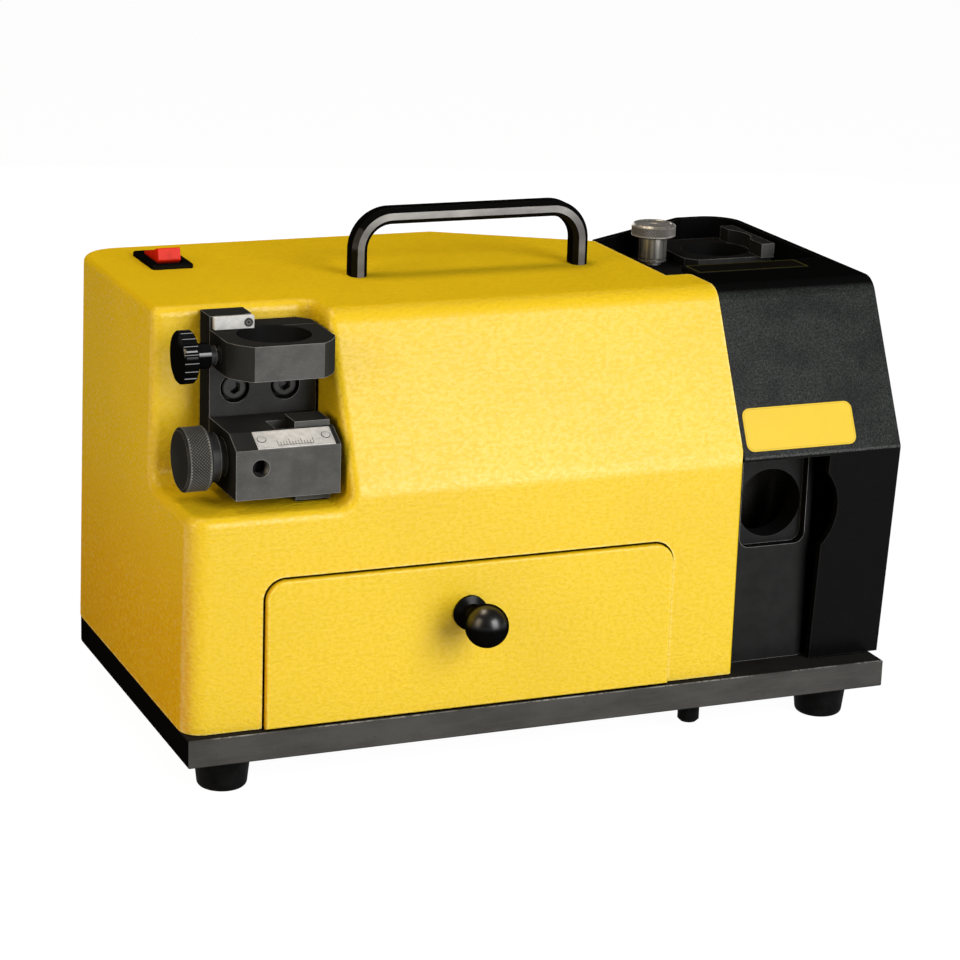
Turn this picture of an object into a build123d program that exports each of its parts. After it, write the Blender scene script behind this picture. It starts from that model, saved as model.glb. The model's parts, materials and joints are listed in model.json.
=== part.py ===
from build123d import *
import os
from math import cos, pi, sin

# Bench grinder for end mills: a cast housing and a wheel cover on a steel plate, with a setting
# fixture in the housing's corner recess, two chuck ports at the wheel, a tool drawer and a handle.
# Millimetres, +X to the machine's right, +Y to its back, +Z up. The origin is on the floor, under
# the middle of the base plate.

# Base plate
plate_length = 320.0
plate_depth = 178.0
plate_thickness = 12.0
plate_rear_radius = 18.0
plate_edge_chamfer = 0.4

# Rubber feet, their screws, and the short peg under the front edge
foot_height = 14.0
foot_radius = 11.8
foot_tip_radius = 10.2
foot_edge_radius = 2.2
foot_inset_left = 18.8
foot_inset_right = 23.1
foot_inset_front = 14.5
foot_inset_rear = 22.0
foot_inset_rear_left = 33.0
foot_floor = 6.0
screw_radius = 3.0
screw_head_radius = 5.0
screw_head_height = 5.5
screw_socket_across = 5.0
screw_clearance = 0.1
peg_radius = 4.7
peg_height = 10.0
peg_from_left = 231.0
peg_from_front = 12.0
peg_chamfer = 1.2

# Outer form shared by the housing and the wheel cover
body_height = 165.0
body_seam = 0.3
face_setback = 4.0
fold_height = 97.0
brow_setback = 38.0
brow_radius = 10.0

# Housing: a casting with a leaning left face, a nose beside the cover and a notch at the back
housing_wall = 4.0
housing_overhang = 0.3
housing_lean = 2.5
housing_front_radius = 9.0
housing_rear_radius = 18.0
housing_fold_radius = 14.0
housing_top_radius = 3.0
bulkhead_inset = 85.0
nose_length = 12.0
nose_depth = 63.0
nose_radius = 2.0
notch_depth = 37.7
notch_left_width = 65.0
notch_right_width = 61.5
notch_corner_radius = 4.0

# Recess in the housing's upper front left corner
recess_width = 69.5
recess_depth = 58.5
recess_floor_height = 91.0
recess_inner_radius = 6.0
recess_rim_radius = 4.0

# Wheel cover
cover_wall = 3.0
cover_foot_setback = 11.7
cover_fold_radius = 3.0
cover_rear_radius = 15.0
cover_sill_width = 6.0
cover_sill_thickness = 2.0
cover_strip_depth = 79.0
cover_strip_inset = 15.5
window_right = 18.7
window_ring_radius = 25.0
window_top_margin = 1.5

# Ports: the collet chuck that they take, and the blocks around them
chuck_diameter = 30.5
chuck_clearance = 0.03
front_port_offset = 35.2
top_port_setback = 140.0
bracket_setback = 17.8
bracket_width = 42.4
bracket_thickness = 16.0
bracket_height = 104.0
bracket_edge_radius = 6.0
bracket_foot_length = 18.0
bracket_foot_thickness = 8.0
pocket_width = 31.8
pocket_drop = 18.2
pocket_depth = 4.5
pocket_radius = 5.0
block_left_wall = 7.8
block_right_wall = 3.6
block_front_wall = 4.7
block_rear_wall = 8.8
block_height = 4.4
block_chamfer = 5.0
fence_width = 6.5
fence_front_overhang = 3.0
fence_length = 42.0
fence_height = 6.5
fence_relief = 1.2

# Carriage that lifts the top port, its shelf, guide pins and edge screw
well_depth = 12.0
well_right_gap = 3.4
well_clearance = 0.6
carriage_thickness = 6.0
carriage_travel = 1.0
carriage_float = 0.5
shelf_thickness = 5.0
shelf_flange_height = 22.0
shelf_hole_margin = 3.0
guide_pin_radius = 3.0
guide_pin_spread = 34.0
guide_fit = 0.05
edge_screw_radius = 4.0
edge_knob_radius = 10.2
edge_knob_thickness = 6.0
edge_stem_radius = 6.4
edge_stem_length = 10.5
edge_collar_radius = 6.5
edge_collar_thickness = 1.0
edge_groove_width = 0.8
edge_groove_depth = 0.8
edge_knob_gap = 4.2
edge_knob_setback = 137.0

# Drive: motor and wheel on one shaft
spindle_setback = 102.0
spindle_height = 70.7
motor_radius = 32.0
motor_can_length = 100.0
motor_can_wall = 3.0
motor_bell_thickness = 6.0
motor_bell_lip = 4.0
stator_length = 60.0
stator_bore_radius = 19.6
rotor_radius = 19.0
rotor_length = 64.0
bearing_outer_radius = 11.0
bearing_width = 5.0
shaft_radius = 5.0
shaft_fit = 0.02
shaft_hole_margin = 3.0
wheel_radius = 45.0
wheel_width = 28.0
wheel_bore_radius = 10.0
wheel_rim_thickness = 9.0
wheel_boss_radius = 22.0
wheel_web_thickness = 14.0
abrasive_thickness = 2.5
hub_barrel_radius = 9.0
hub_barrel_length = 14.0
hub_flange_radius = 20.0
hub_flange_thickness = 5.0
wheel_nut_across = 16.0
wheel_nut_thickness = 7.0
outer_flange_radius = 18.0
outer_flange_thickness = 4.0

# Drawer
drawer_inset = 32.3
drawer_end_gap = 19.3
drawer_height = 64.2
drawer_corner_radius = 9.3
drawer_gap = 1.0
drawer_front_thickness = 4.0
drawer_proud = 2.5
drawer_edge_radius = 0.8
tray_side_inset = 8.0
tray_height = 44.0
tray_wall = 1.2
tray_motor_gap = 7.0
runner_thickness = 2.0
runner_height = 13.0
runner_ledge = 8.0
runner_fit = 0.2
knob_from_left = 89.2
knob_height = 42.2
knob_ball_radius = 9.1
knob_reach = 18.2
knob_base_radius = 7.4
knob_base_thickness = 3.0
knob_neck_radius = 4.6

# Handle
handle_from_left = 155.8
handle_setback = 96.5
handle_span = 103.4
handle_rise = 29.2
handle_thickness = 7.0
handle_width = 10.0
handle_chamfer = 2.0
handle_bend_radius = 14.5
handle_screw_radius = 2.5
handle_screw_depth = 9.0
handle_screw_head_radius = 4.4
handle_screw_head_height = 3.5

# Rocker switch
switch_from_left = 32.0
switch_setback = 143.0
switch_length = 31.6
switch_width = 18.2
switch_rim = 3.2
switch_rim_height = 2.0
switch_corner_radius = 1.5
switch_body_depth = 18.0
switch_body_wall = 1.4
rocker_side_gap = 0.85
rocker_end_gap = 1.95
rocker_tilt = 14.5
rocker_tip_height = 5.5
rocker_dip = 0.6
rocker_depth = 4.0
rocker_keel_radius = 1.0
rocker_tip_radius = 0.5
rocker_dip_radius = 6.0
rocker_pin_radius = 1.2
rocker_pin_reach = 0.9
rocker_pin_fit = 0.05

# Power inlet on the back
inlet_from_left = 62.0
inlet_height = 46.0
inlet_width = 48.0
inlet_flange_height = 28.0
inlet_flange_thickness = 3.0
inlet_body_width = 28.0
inlet_body_height = 20.0
inlet_body_depth = 18.0
inlet_socket_width = 24.0
inlet_socket_height = 16.0
inlet_socket_depth = 15.0
inlet_corner_chamfer = 5.0
inlet_pin_thickness = 2.0
inlet_pin_width = 4.0
inlet_pin_length = 12.0
inlet_pin_spacing = 7.0

# Setting fixture in the recess
fixture_width = 45.9
fixture_side_gap = 1.3
fixture_plate_thickness = 12.8
ear_width = 18.2
ear_height = 5.5
ear_relief = 0.5
ring_reach = 13.1
ring_radius = 24.6
ring_front_flat = 19.8
ring_height = 14.4
ring_bottom_height = 52.6
fixture_screw_height = 42.0
fixture_screw_spacing = 21.6
fixture_screw_shift = 1.25
counterbore_radius = 6.2
counterbore_depth = 6.5
stop_bottom_height = 5.0
stop_front_height = 25.5
stop_top_height = 30.5
stop_reach = 35.7
stop_end_gap = 1.7
stop_slope_depth = 9.5
stop_axis_height = 18.9
tapped_hole_radius = 3.7
tapped_hole_depth = 9.0
tapped_hole_from_left = 10.4
tapped_hole_height = 17.8
slide_width = 14.8
slide_depth = 12.5
slide_inset = 12.2
slide_from_right = 2.9
slide_proud = 2.5
slide_travel = 8.0
slide_fit = 0.1
keeper_reach = 2.5
keeper_thickness = 3.6
keeper_gap = 0.6
stop_knob_radius = 13.2
stop_knob_width = 10.8
stop_knob_chamfer = 1.0
stop_collar_radius = 10.0
stop_collar_width = 4.0
stop_neck_radius = 8.0
stop_neck_width = 3.2
stop_knob_gap = 0.3
stop_screw_radius = 4.0
clamp_knob_radius = 10.8
clamp_knob_width = 6.2
clamp_knob_dome = 1.3
clamp_flutes = 20
clamp_flute_radius = 1.0
clamp_hub_radius = 5.2
clamp_hub_width = 6.6
clamp_collar_radius = 4.0
clamp_collar_width = 2.6
clamp_stem_width = 2.2
clamp_screw_radius = 3.0
clamp_pad_length = 3.2
clamp_pad_inset = 0.4
screw_fit = 0.05

# Places that follow from the sizes above
left = -plate_length / 2
right = plate_length / 2
front = -plate_depth / 2
rear = plate_depth / 2
deck = foot_height + plate_thickness
peg_place = (left + peg_from_left, front + peg_from_front)
body_base = deck + body_seam
body_top = deck + body_height
face_y = front + face_setback
fold_z = deck + fold_height
brow_y = front + brow_setback
bulkhead_x = right - bulkhead_inset
nose_x = bulkhead_x + nose_length
step_y = front + nose_depth
apex_y = rear - notch_depth
housing_left = left - housing_overhang
spindle_y = front + spindle_setback
spindle_z = deck + spindle_height
spindle = (spindle_y, spindle_z)
port_radius = chuck_diameter / 2 + chuck_clearance
front_port_x = bulkhead_x + front_port_offset
top_port_x = front_port_x + wheel_width
top_port_y = front + top_port_setback
top_port = (top_port_x, top_port_y)
cover_left = bulkhead_x + body_seam
cover_nose_left = nose_x + body_seam
cover_right = top_port_x + port_radius + block_right_wall + well_right_gap + cover_wall
cover_foot_y = front + cover_foot_setback
strip_y = front + cover_strip_depth
strip_x = bulkhead_x + cover_strip_inset
carriage_top = body_top - well_depth
carriage_bottom = carriage_top - carriage_thickness
shelf_top = carriage_bottom - carriage_travel - carriage_float
shelf_bottom = shelf_top - shelf_thickness
block_left = top_port_x - port_radius - block_left_wall
block_right = top_port_x + port_radius + block_right_wall
block_front = top_port_y - port_radius - block_front_wall
block_rear = top_port_y + port_radius + block_rear_wall
edge_x = block_left - edge_knob_gap - edge_stem_radius
edge_y = front + edge_knob_setback
edge = (edge_x, edge_y)
edge_base = carriage_top + carriage_travel + carriage_float
bracket_y = front + bracket_setback
motor_face_x = bulkhead_x - housing_wall
motor_can_right = motor_face_x - motor_bell_thickness
motor_can_left = motor_can_right - motor_can_length
motor_left = motor_can_left - motor_bell_thickness
hub_left = front_port_x - hub_flange_thickness - hub_barrel_length
outer_flange_right = top_port_x + outer_flange_thickness
drawer_left = left + drawer_inset
drawer_right = bulkhead_x - drawer_end_gap
drawer_top = deck + drawer_height
tray_left = drawer_left + tray_side_inset
tray_right = drawer_right - tray_side_inset
tray_front = face_y + drawer_front_thickness
tray_back = spindle_y - motor_radius - tray_motor_gap
tray_base = deck + runner_thickness + runner_fit
drawer_face_y = face_y - drawer_proud
knob_x = drawer_left + knob_from_left
knob_z = deck + knob_height
handle_x = left + handle_from_left
handle_y = front + handle_setback
switch_x = left + switch_from_left
switch_y = front + switch_setback
inlet_x = left + inlet_from_left
inlet_z = deck + inlet_height
recess_x = left + recess_width
recess_y = front + recess_depth
recess_z = deck + recess_floor_height
fixture_right = recess_x - fixture_side_gap
fixture_left = fixture_right - fixture_width
fixture_plate_y = recess_y - fixture_plate_thickness
fixture_back_chamfer = max(recess_inner_radius - fixture_side_gap, 0) + body_seam
ring_x = (fixture_left + fixture_right) / 2
ring_y = fixture_plate_y - ring_reach
ring_bottom = recess_z + ring_bottom_height
ring_top = ring_bottom + ring_height
fixture_screw_z = recess_z + fixture_screw_height
stop_bottom = recess_z + stop_bottom_height
stop_top = recess_z + stop_top_height
stop_front_top = recess_z + stop_front_height
stop_y = fixture_plate_y - stop_reach
slide_right = fixture_right - slide_from_right
slide_left = slide_right - slide_width
slide_back = fixture_plate_y - slide_inset
slide_front = slide_back - slide_depth
stop_axis_y = (slide_front + slide_back) / 2
stop_axis_z = recess_z + stop_axis_height
stop_axis = (stop_axis_y, stop_axis_z)
stop_knob_right = fixture_left - stop_knob_gap
stop_knob_left = stop_knob_right - stop_neck_width - stop_collar_width - stop_knob_width
clamp_z = (ring_bottom + ring_top) / 2
clamp_axis = (ring_y, clamp_z)
clamp_knob_right = fixture_left - clamp_stem_width - clamp_collar_width - clamp_hub_width
clamp_pad_tip = ring_x - port_radius - clamp_pad_inset
clamp_pad_root = clamp_pad_tip - clamp_pad_length
reach = 400.0
cut = 1.0
touch = 0.05
BASE = (Align.CENTER, Align.CENTER, Align.MIN)


def block(x, y, z):
    """Box between the low and high values on each axis."""
    size = (x[1] - x[0], y[1] - y[0], z[1] - z[0])
    return Pos(x[0], y[0], z[0]) * Box(*size, align=(Align.MIN, Align.MIN, Align.MIN))


def upright(radius, place, low, high):
    """Round bar along Z at (x, y)."""
    return Pos(place[0], place[1], low) * Cylinder(radius, high - low, align=BASE)


def cross(radius, place, low, high):
    """Round bar along X at (y, z)."""
    return Plane(origin=(low, *place), z_dir=(1, 0, 0)) * Cylinder(radius, high - low, align=BASE)


def lengthwise(radius, place, low, high):
    """Round bar along Y at (x, z)."""
    return Plane(origin=(place[0], low, place[1]), z_dir=(0, 1, 0)) * Cylinder(radius, high - low, align=BASE)


def outline(points, radius=0):
    """Flat face inside a closed outline, with its corners rounded."""
    return make_face(FilletPolyline(*points, radius=radius, close=True))


def prism_x(face, low, high):
    """Face drawn in (y, z), carried from one x to another."""
    return extrude(Plane.YZ.offset(low) * face, high - low)


def prism_y(face, low, high):
    """Face drawn in (x, z), carried from one y to another."""
    return extrude(Plane.XZ.offset(-high) * face, high - low)


def prism_z(face, low, high):
    """Face drawn in (x, y), carried from one z to another."""
    return extrude(Plane.XY.offset(low) * face, high - low)


def turned(profile, start, axis):
    """Solid of revolution: profile points are (distance along the axis, radius)."""
    across = (0, 1, 0) if abs(Vector(*axis).Y) < 0.5 else (0, 0, 1)
    plane = Plane(origin=start, x_dir=axis, z_dir=Vector(*axis).cross(Vector(*across)))
    return revolve(plane * make_face(Polyline(*profile, close=True)), Axis(start, axis))


def feet_places():
    """Names and centres of the four feet."""
    return {
        "front_left_foot": (left + foot_inset_left, front + foot_inset_front),
        "front_right_foot": (right - foot_inset_right, front + foot_inset_front),
        "rear_left_foot": (left + foot_inset_rear_left, rear - foot_inset_rear),
        "rear_right_foot": (right - foot_inset_right, rear - foot_inset_rear),
    }


# Base
def base_plate():
    corners = [(left, front), (right, front), (right, rear), (left, rear)]
    face = outline(corners, [0, 0, plate_rear_radius, plate_rear_radius])
    plate = prism_z(face, foot_height, deck)
    flat_edges = plate.edges().filter_by(Plane.XY)
    plate = chamfer(flat_edges, plate_edge_chamfer)
    for place in [*feet_places().values(), peg_place]:
        plate -= upright(screw_radius + screw_clearance, place, foot_height - cut, deck - cut)
    return plate


def foot(x, y):
    profile = [(0, 0), (0, foot_tip_radius), (foot_height, foot_radius), (foot_height, 0)]
    body = turned(profile, (x, y, 0), (0, 0, 1))
    tip = body.edges().group_by(Axis.Z)[0]
    body = fillet(tip, foot_edge_radius)
    body -= upright(screw_head_radius + screw_clearance, (x, y), -cut, foot_floor)
    return body - upright(screw_radius + screw_clearance, (x, y), 0, foot_height + cut)


def socket_screw(seat, axis, shank_length):
    """Cap screw whose head stands on its seat, with a hexagonal socket; axis points out of the head."""
    head = turned(
        [(-shank_length, 0), (-shank_length, screw_radius), (0, screw_radius), (0, screw_head_radius),
         (screw_head_height, screw_head_radius), (screw_head_height, 0)], seat, axis)
    socket_face = Plane(origin=Vector(*seat) + Vector(*axis) * screw_head_height, z_dir=axis)
    hole = extrude(socket_face * RegularPolygon(screw_socket_across / 2, 6, major_radius=False),
                   -screw_head_height / 2)
    return head - hole


def foot_screws():
    length = foot_height - foot_floor + plate_thickness - 2 * cut
    seats = [(x, y, foot_floor) for x, y in feet_places().values()]
    return Compound([socket_screw(seat, (0, 0, -1), length) for seat in seats])


def base_peg():
    start = (*peg_place, foot_height - peg_height)
    shank_end = peg_height + plate_thickness - 2 * cut
    profile = [(0, 0), (0, peg_radius - peg_chamfer), (peg_chamfer, peg_radius), (peg_height, peg_radius),
               (peg_height, screw_radius), (shank_end, screw_radius), (shank_end, 0)]
    return turned(profile, start, (0, 0, 1))


# Housing
def body_section(foot_y, fold_radius, drop=0.0):
    """Side view of the body in (y, z): front, fold, slanted brow, top and back; drop lowers its base."""
    base = body_base - drop
    lean = (foot_y - face_y) / (fold_z - body_base)
    points = [(foot_y + lean * drop, base), (face_y, fold_z), (brow_y, body_top),
              (rear, body_top), (rear, base)]
    return outline(points, [0, fold_radius, brow_radius, 0, 0])


def housing_plan(left_x):
    """Plan of the housing, with its nose at the front right and the notch at the back."""
    points = [(left_x, face_y), (nose_x, face_y), (nose_x, step_y), (bulkhead_x, step_y),
              (bulkhead_x, apex_y), (bulkhead_x - notch_left_width, rear), (left_x, rear)]
    radii = [housing_front_radius, nose_radius, nose_radius, 0, 0, notch_corner_radius, housing_rear_radius]
    return outline(points, radii)


def recess(growth):
    """Tool that opens the corner recess, grown where it stands for the wall around it."""
    radius = recess_inner_radius + growth
    space = block((left - reach, recess_x + growth), (front - reach, recess_y + growth),
                  (recess_z - growth, body_top + reach))
    corner = Vector(recess_x + growth, recess_y + growth, recess_z - growth)
    edges = [e for e in space.edges() if (e @ 0 - corner).length < cut or (e @ 1 - corner).length < cut]
    return fillet(edges, radius)


def recess_rim(opened, solid):
    """Edges where the recess breaks through the skin of the solid housing."""
    skin = solid.faces()
    rim = []
    for edge in opened.edges():
        middle = edge @ 0.5
        in_recess = middle.X < recess_x + touch and middle.Y < recess_y + touch and middle.Z > recess_z - touch
        if in_recess and min(face.distance_to(Vertex(middle)) for face in skin) < touch:
            rim.append(edge)
    return rim


def top_rim(solid):
    """Edges around the top at the left, the back and the notch."""
    rim = []
    for edge in solid.edges():
        middle = edge @ 0.5
        on_top = abs(middle.Z - body_top) < touch
        by_recess = middle.X < recess_x + 2 * recess_rim_radius and middle.Y < recess_y + 2 * recess_rim_radius
        at_front_or_right = middle.Y < brow_y + brow_radius or middle.X > bulkhead_x - cut
        if on_top and not by_recess and not at_front_or_right:
            rim.append(edge)
    return rim


def housing_outside():
    drafted = loft([Plane.XY.offset(body_base) * housing_plan(housing_left),
                    Plane.XY.offset(body_top) * housing_plan(housing_left + housing_lean)], ruled=True)
    side = prism_x(body_section(face_y, housing_fold_radius), left - reach, right + reach)
    solid = drafted & side
    opened = solid - recess(0)
    opened = fillet(recess_rim(opened, solid), recess_rim_radius)
    return fillet(top_rim(opened), housing_top_radius)


def housing_inside():
    plan = offset(housing_plan(housing_left + housing_lean), -housing_wall, kind=Kind.INTERSECTION)
    section = offset(body_section(face_y, housing_fold_radius, 3 * housing_wall), -housing_wall,
                     kind=Kind.INTERSECTION)
    core = prism_z(plan, body_base - reach, body_top + reach)
    return (core & prism_x(section, left - reach, right + reach)) - recess(housing_wall)


def handle_feet():
    """Centres of the handle's two feet on the housing's top."""
    return [(handle_x - handle_span / 2, handle_y), (handle_x + handle_span / 2, handle_y)]


def fixture_screw_places():
    """X of the two screws that hold the fixture to the recess's back wall."""
    middle = ring_x - fixture_screw_shift
    return [middle - fixture_screw_spacing / 2, middle + fixture_screw_spacing / 2]


def drawer_opening(gap):
    """Front view of the drawer in (x, z), shrunk by the gap around it."""
    points = [(drawer_left + gap, body_base - cut), (drawer_right - gap, body_base - cut),
              (drawer_right - gap, drawer_top - gap), (drawer_left + gap, drawer_top - gap)]
    radius = drawer_corner_radius - gap
    return outline(points, [0, 0, radius, radius])


def switch_hole():
    half_x = switch_width / 2 - switch_rim / 2
    half_y = switch_length / 2 - switch_rim / 2
    return block((switch_x - half_x, switch_x + half_x), (switch_y - half_y, switch_y + half_y),
                 (body_top - 2 * housing_wall, body_top + cut))


def housing():
    shell = housing_outside() - housing_inside()
    shell -= prism_y(drawer_opening(0), face_y - cut, face_y + housing_wall + cut)
    for place in handle_feet():
        shell -= upright(handle_screw_radius + screw_clearance, place, body_top - 2 * housing_wall, body_top + cut)
    for x in fixture_screw_places():
        shell -= lengthwise(screw_radius + screw_clearance, (x, fixture_screw_z), recess_y - cut,
                            recess_y + housing_wall + cut)
    shell -= switch_hole()
    shell -= cross(shaft_radius + shaft_hole_margin, spindle, bulkhead_x - 2 * housing_wall, bulkhead_x + cut)
    half_width, half_height = inlet_body_width / 2 + body_seam, inlet_body_height / 2 + body_seam
    shell -= block((inlet_x - half_width, inlet_x + half_width), (rear - 2 * housing_wall, rear + cut),
                   (inlet_z - half_height, inlet_z + half_height))
    return shell


# Wheel cover
def cover_plan(opening):
    """Plan of the cover; opening carries its left side on, to leave that side without a wall."""
    slope = notch_depth / notch_right_width
    step = step_y + body_seam - opening
    points = [(cover_nose_left - opening, front - reach), (cover_right, front - reach), (cover_right, rear),
              (bulkhead_x + notch_right_width, rear), (cover_left - opening, apex_y - opening * slope),
              (cover_left - opening, step), (cover_nose_left - opening, step)]
    return outline(points, [0, 0, cover_rear_radius, notch_corner_radius, 0, 0, 0])


def cover_inner_plan():
    return offset(cover_plan(3 * cover_wall), -cover_wall, kind=Kind.INTERSECTION)


def cover_well():
    """Plan of the open well in the cover's top, as a solid column."""
    column = prism_z(cover_inner_plan(), deck, body_top + reach)
    behind_strip = block((cover_left, reach), (strip_y, reach), (deck, body_top + reach))
    beside_nose = block((cover_left, strip_x), (step_y, reach), (deck, body_top + reach))
    return column & (behind_strip + beside_nose)


def cover_window():
    """Front opening in (x, z): a straight-sided window with a round bulge about the port's axis."""
    top = fold_z - window_top_margin
    sides = [(cover_nose_left - reach, deck - cut), (front_port_x + window_right, deck - cut),
             (front_port_x + window_right, top), (cover_nose_left - reach, top)]
    return outline(sides) + Pos(front_port_x, spindle_z) * Circle(window_ring_radius)


def end_cover():
    outside = prism_z(cover_plan(0), body_base, body_top + reach)
    outside &= prism_x(body_section(cover_foot_y, cover_fold_radius), left - reach, right + reach)
    section = offset(body_section(cover_foot_y, cover_fold_radius, 4 * cover_wall), -cover_wall,
                     kind=Kind.INTERSECTION)
    inside = prism_z(cover_inner_plan(), body_base - reach, body_top + reach)
    inside &= prism_x(section, left - reach, right + reach)
    shell = outside - inside
    inner_x = cover_right - cover_wall
    shell += outside & block((inner_x - cover_sill_width, cover_right), (-reach, reach),
                             (body_base, body_base + cover_sill_thickness))
    shell -= prism_y(cover_window(), front - reach, bracket_y - cut)
    return shell - (cover_well() & block((-reach, reach), (-reach, reach), (shelf_bottom, body_top + reach)))


def port_bracket():
    low_x, high_x = front_port_x - bracket_width / 2, front_port_x + bracket_width / 2
    low_x = max(low_x, cover_nose_left + body_seam)
    back = bracket_y + bracket_thickness
    corners = [(low_x, bracket_y), (high_x, bracket_y), (high_x, back), (low_x, back)]
    body = prism_z(outline(corners, [0, bracket_edge_radius, 0, 0]), deck, deck + bracket_height)
    body += block((low_x, high_x), (back, back + bracket_foot_length), (deck, deck + bracket_foot_thickness))
    half = pocket_width / 2
    low = spindle_z - pocket_drop
    sides = [(front_port_x - half, low), (front_port_x + half, low), (front_port_x + half, deck + reach),
             (front_port_x - half, deck + reach)]
    pocket = outline(sides, [pocket_radius, pocket_radius, 0, 0])
    body -= prism_y(pocket, bracket_y - cut, bracket_y + pocket_depth)
    return body - lengthwise(port_radius, (front_port_x, spindle_z), bracket_y - cut, back + cut)


# Top port
def guide_pin_places():
    """Centres of the two pins that guide the carriage."""
    near = (edge_x, edge_y - guide_pin_spread)
    far = (block_right - guide_pin_radius, block_front - guide_pin_spread / 2)
    return [near, far]


def well_plate(low, high, gap):
    """Level plate that fills the well's plan, smaller all round by the gap."""
    column = cover_well() & block((-reach, reach), (-reach, reach), (low, high))
    plan = make_face(column.faces().sort_by(Axis.Z)[-1].outer_wire())
    return extrude(offset(plan, -gap, kind=Kind.INTERSECTION), low - high)


def port_carriage():
    plate = well_plate(carriage_bottom, carriage_top, well_clearance)
    plate -= upright(port_radius, top_port, carriage_bottom - cut, carriage_top + cut)
    plate -= upright(edge_screw_radius + guide_fit, edge, carriage_bottom - cut, carriage_top + cut)
    for place in guide_pin_places():
        plate -= upright(guide_pin_radius + guide_fit, place, carriage_bottom - cut, carriage_top - cut)
    return plate


def top_port_block():
    body = block((block_left, block_right), (block_front, block_rear), (carriage_top, carriage_top + block_height))
    left_corners = body.edges().filter_by(Axis.Z).group_by(Axis.X)[0]
    body = chamfer(left_corners, block_chamfer)
    return body - upright(port_radius, top_port, carriage_top - cut, carriage_top + block_height + cut)


def port_fence():
    low = carriage_top + block_height
    high = low + fence_height
    start = block_front - fence_front_overhang
    bar = block((block_right - fence_width, block_right), (start, start + fence_length), (low, high))
    return bar - upright(port_radius + fence_relief, top_port, low - cut, high + cut)


def carriage_shelf():
    """Fixed shelf under the carriage, hung from the bulkhead by its flange."""
    shelf = well_plate(shelf_bottom, shelf_top, well_clearance)
    shelf &= block((bulkhead_x, reach), (-reach, reach), (shelf_bottom, shelf_top))
    flange_x = (bulkhead_x, cover_left + shelf_thickness)
    flange_y = (step_y + 3 * cover_wall, apex_y - 3 * cover_wall)
    shelf += block(flange_x, flange_y, (shelf_top - shelf_flange_height, shelf_top))
    shelf -= upright(port_radius + shelf_hole_margin, top_port, shelf_bottom - cut, shelf_top + cut)
    return shelf - upright(edge_screw_radius + guide_fit, edge, shelf_bottom - cut, shelf_top + cut)


def guide_pins():
    tip = carriage_top - cut - carriage_travel - carriage_float
    return Compound([upright(guide_pin_radius, place, shelf_top, tip) for place in guide_pin_places()])


def edge_knob():
    """Knurled head on a smooth stem, with a groove above a thin collar at its base."""
    bore = edge_screw_radius + shaft_fit
    collar = edge_collar_thickness
    groove_top = collar + edge_groove_width
    neck = edge_stem_radius - edge_groove_depth
    rim = collar + edge_stem_length
    top = rim + edge_knob_thickness
    bevel = edge_knob_thickness / 6
    profile = [(0, bore), (0, edge_stem_radius), (collar, edge_stem_radius), (collar, neck), (groove_top, neck),
               (groove_top, edge_stem_radius), (rim, edge_stem_radius), (rim, edge_knob_radius - bevel),
               (rim + bevel, edge_knob_radius), (top - bevel, edge_knob_radius), (top, edge_knob_radius - bevel),
               (top, 0), (rim, 0), (rim, bore)]
    return turned(profile, (*edge, edge_base), (0, 0, 1))


def edge_screw():
    """Screw that turns in the shelf and lifts the carriage, held from below by its collar."""
    low = shelf_bottom - shelf_thickness
    high = edge_base + edge_collar_thickness + edge_stem_length
    screw = upright(edge_screw_radius, edge, low, high)
    return screw + upright(edge_collar_radius, edge, low, shelf_bottom - body_seam)


# Drive
def spindle_ring(outer, inner, low, high):
    """Round piece on the spindle's axis, from one x to another."""
    return cross(outer, spindle, low, high) - cross(inner, spindle, low - cut, high + cut)


def motor_can():
    return spindle_ring(motor_radius, motor_radius - motor_can_wall, motor_can_left, motor_can_right)


def motor_end(low, high, inward):
    """End bell with a spigot in the can and a seat for its bearing."""
    disc = spindle_ring(motor_radius, shaft_radius + shaft_hole_margin, low, high)
    face = high if inward > 0 else low
    lip_low, lip_high = sorted((face, face + inward * motor_bell_lip))
    return disc + spindle_ring(motor_radius - motor_can_wall - shaft_fit, bearing_outer_radius, lip_low, lip_high)


def bearing(face, inward):
    """Ball bearing seated in the end bell's spigot."""
    low, high = sorted((face, face + inward * bearing_width))
    return spindle_ring(bearing_outer_radius - shaft_fit, shaft_radius + shaft_fit, low, high)


def motor_middle():
    return (motor_can_left + motor_can_right) / 2


def stator():
    return spindle_ring(motor_radius - motor_can_wall - shaft_fit, stator_bore_radius,
                        motor_middle() - stator_length / 2, motor_middle() + stator_length / 2)


def rotor():
    return spindle_ring(rotor_radius, shaft_radius + shaft_fit,
                        motor_middle() - rotor_length / 2, motor_middle() + rotor_length / 2)


def motor_shaft():
    return cross(shaft_radius, spindle, motor_left, outer_flange_right + wheel_nut_thickness + cut)


def wheel_hub():
    flange_end = hub_barrel_length + hub_flange_thickness
    spigot_end = flange_end + wheel_width - cut
    bore = shaft_radius + shaft_fit
    profile = [(0, bore), (0, hub_barrel_radius), (hub_barrel_length, hub_barrel_radius),
               (hub_barrel_length, hub_flange_radius), (flange_end, hub_flange_radius),
               (flange_end, wheel_bore_radius - shaft_fit), (spigot_end, wheel_bore_radius - shaft_fit),
               (spigot_end, bore)]
    return turned(profile, (hub_left, *spindle), (1, 0, 0))


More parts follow.
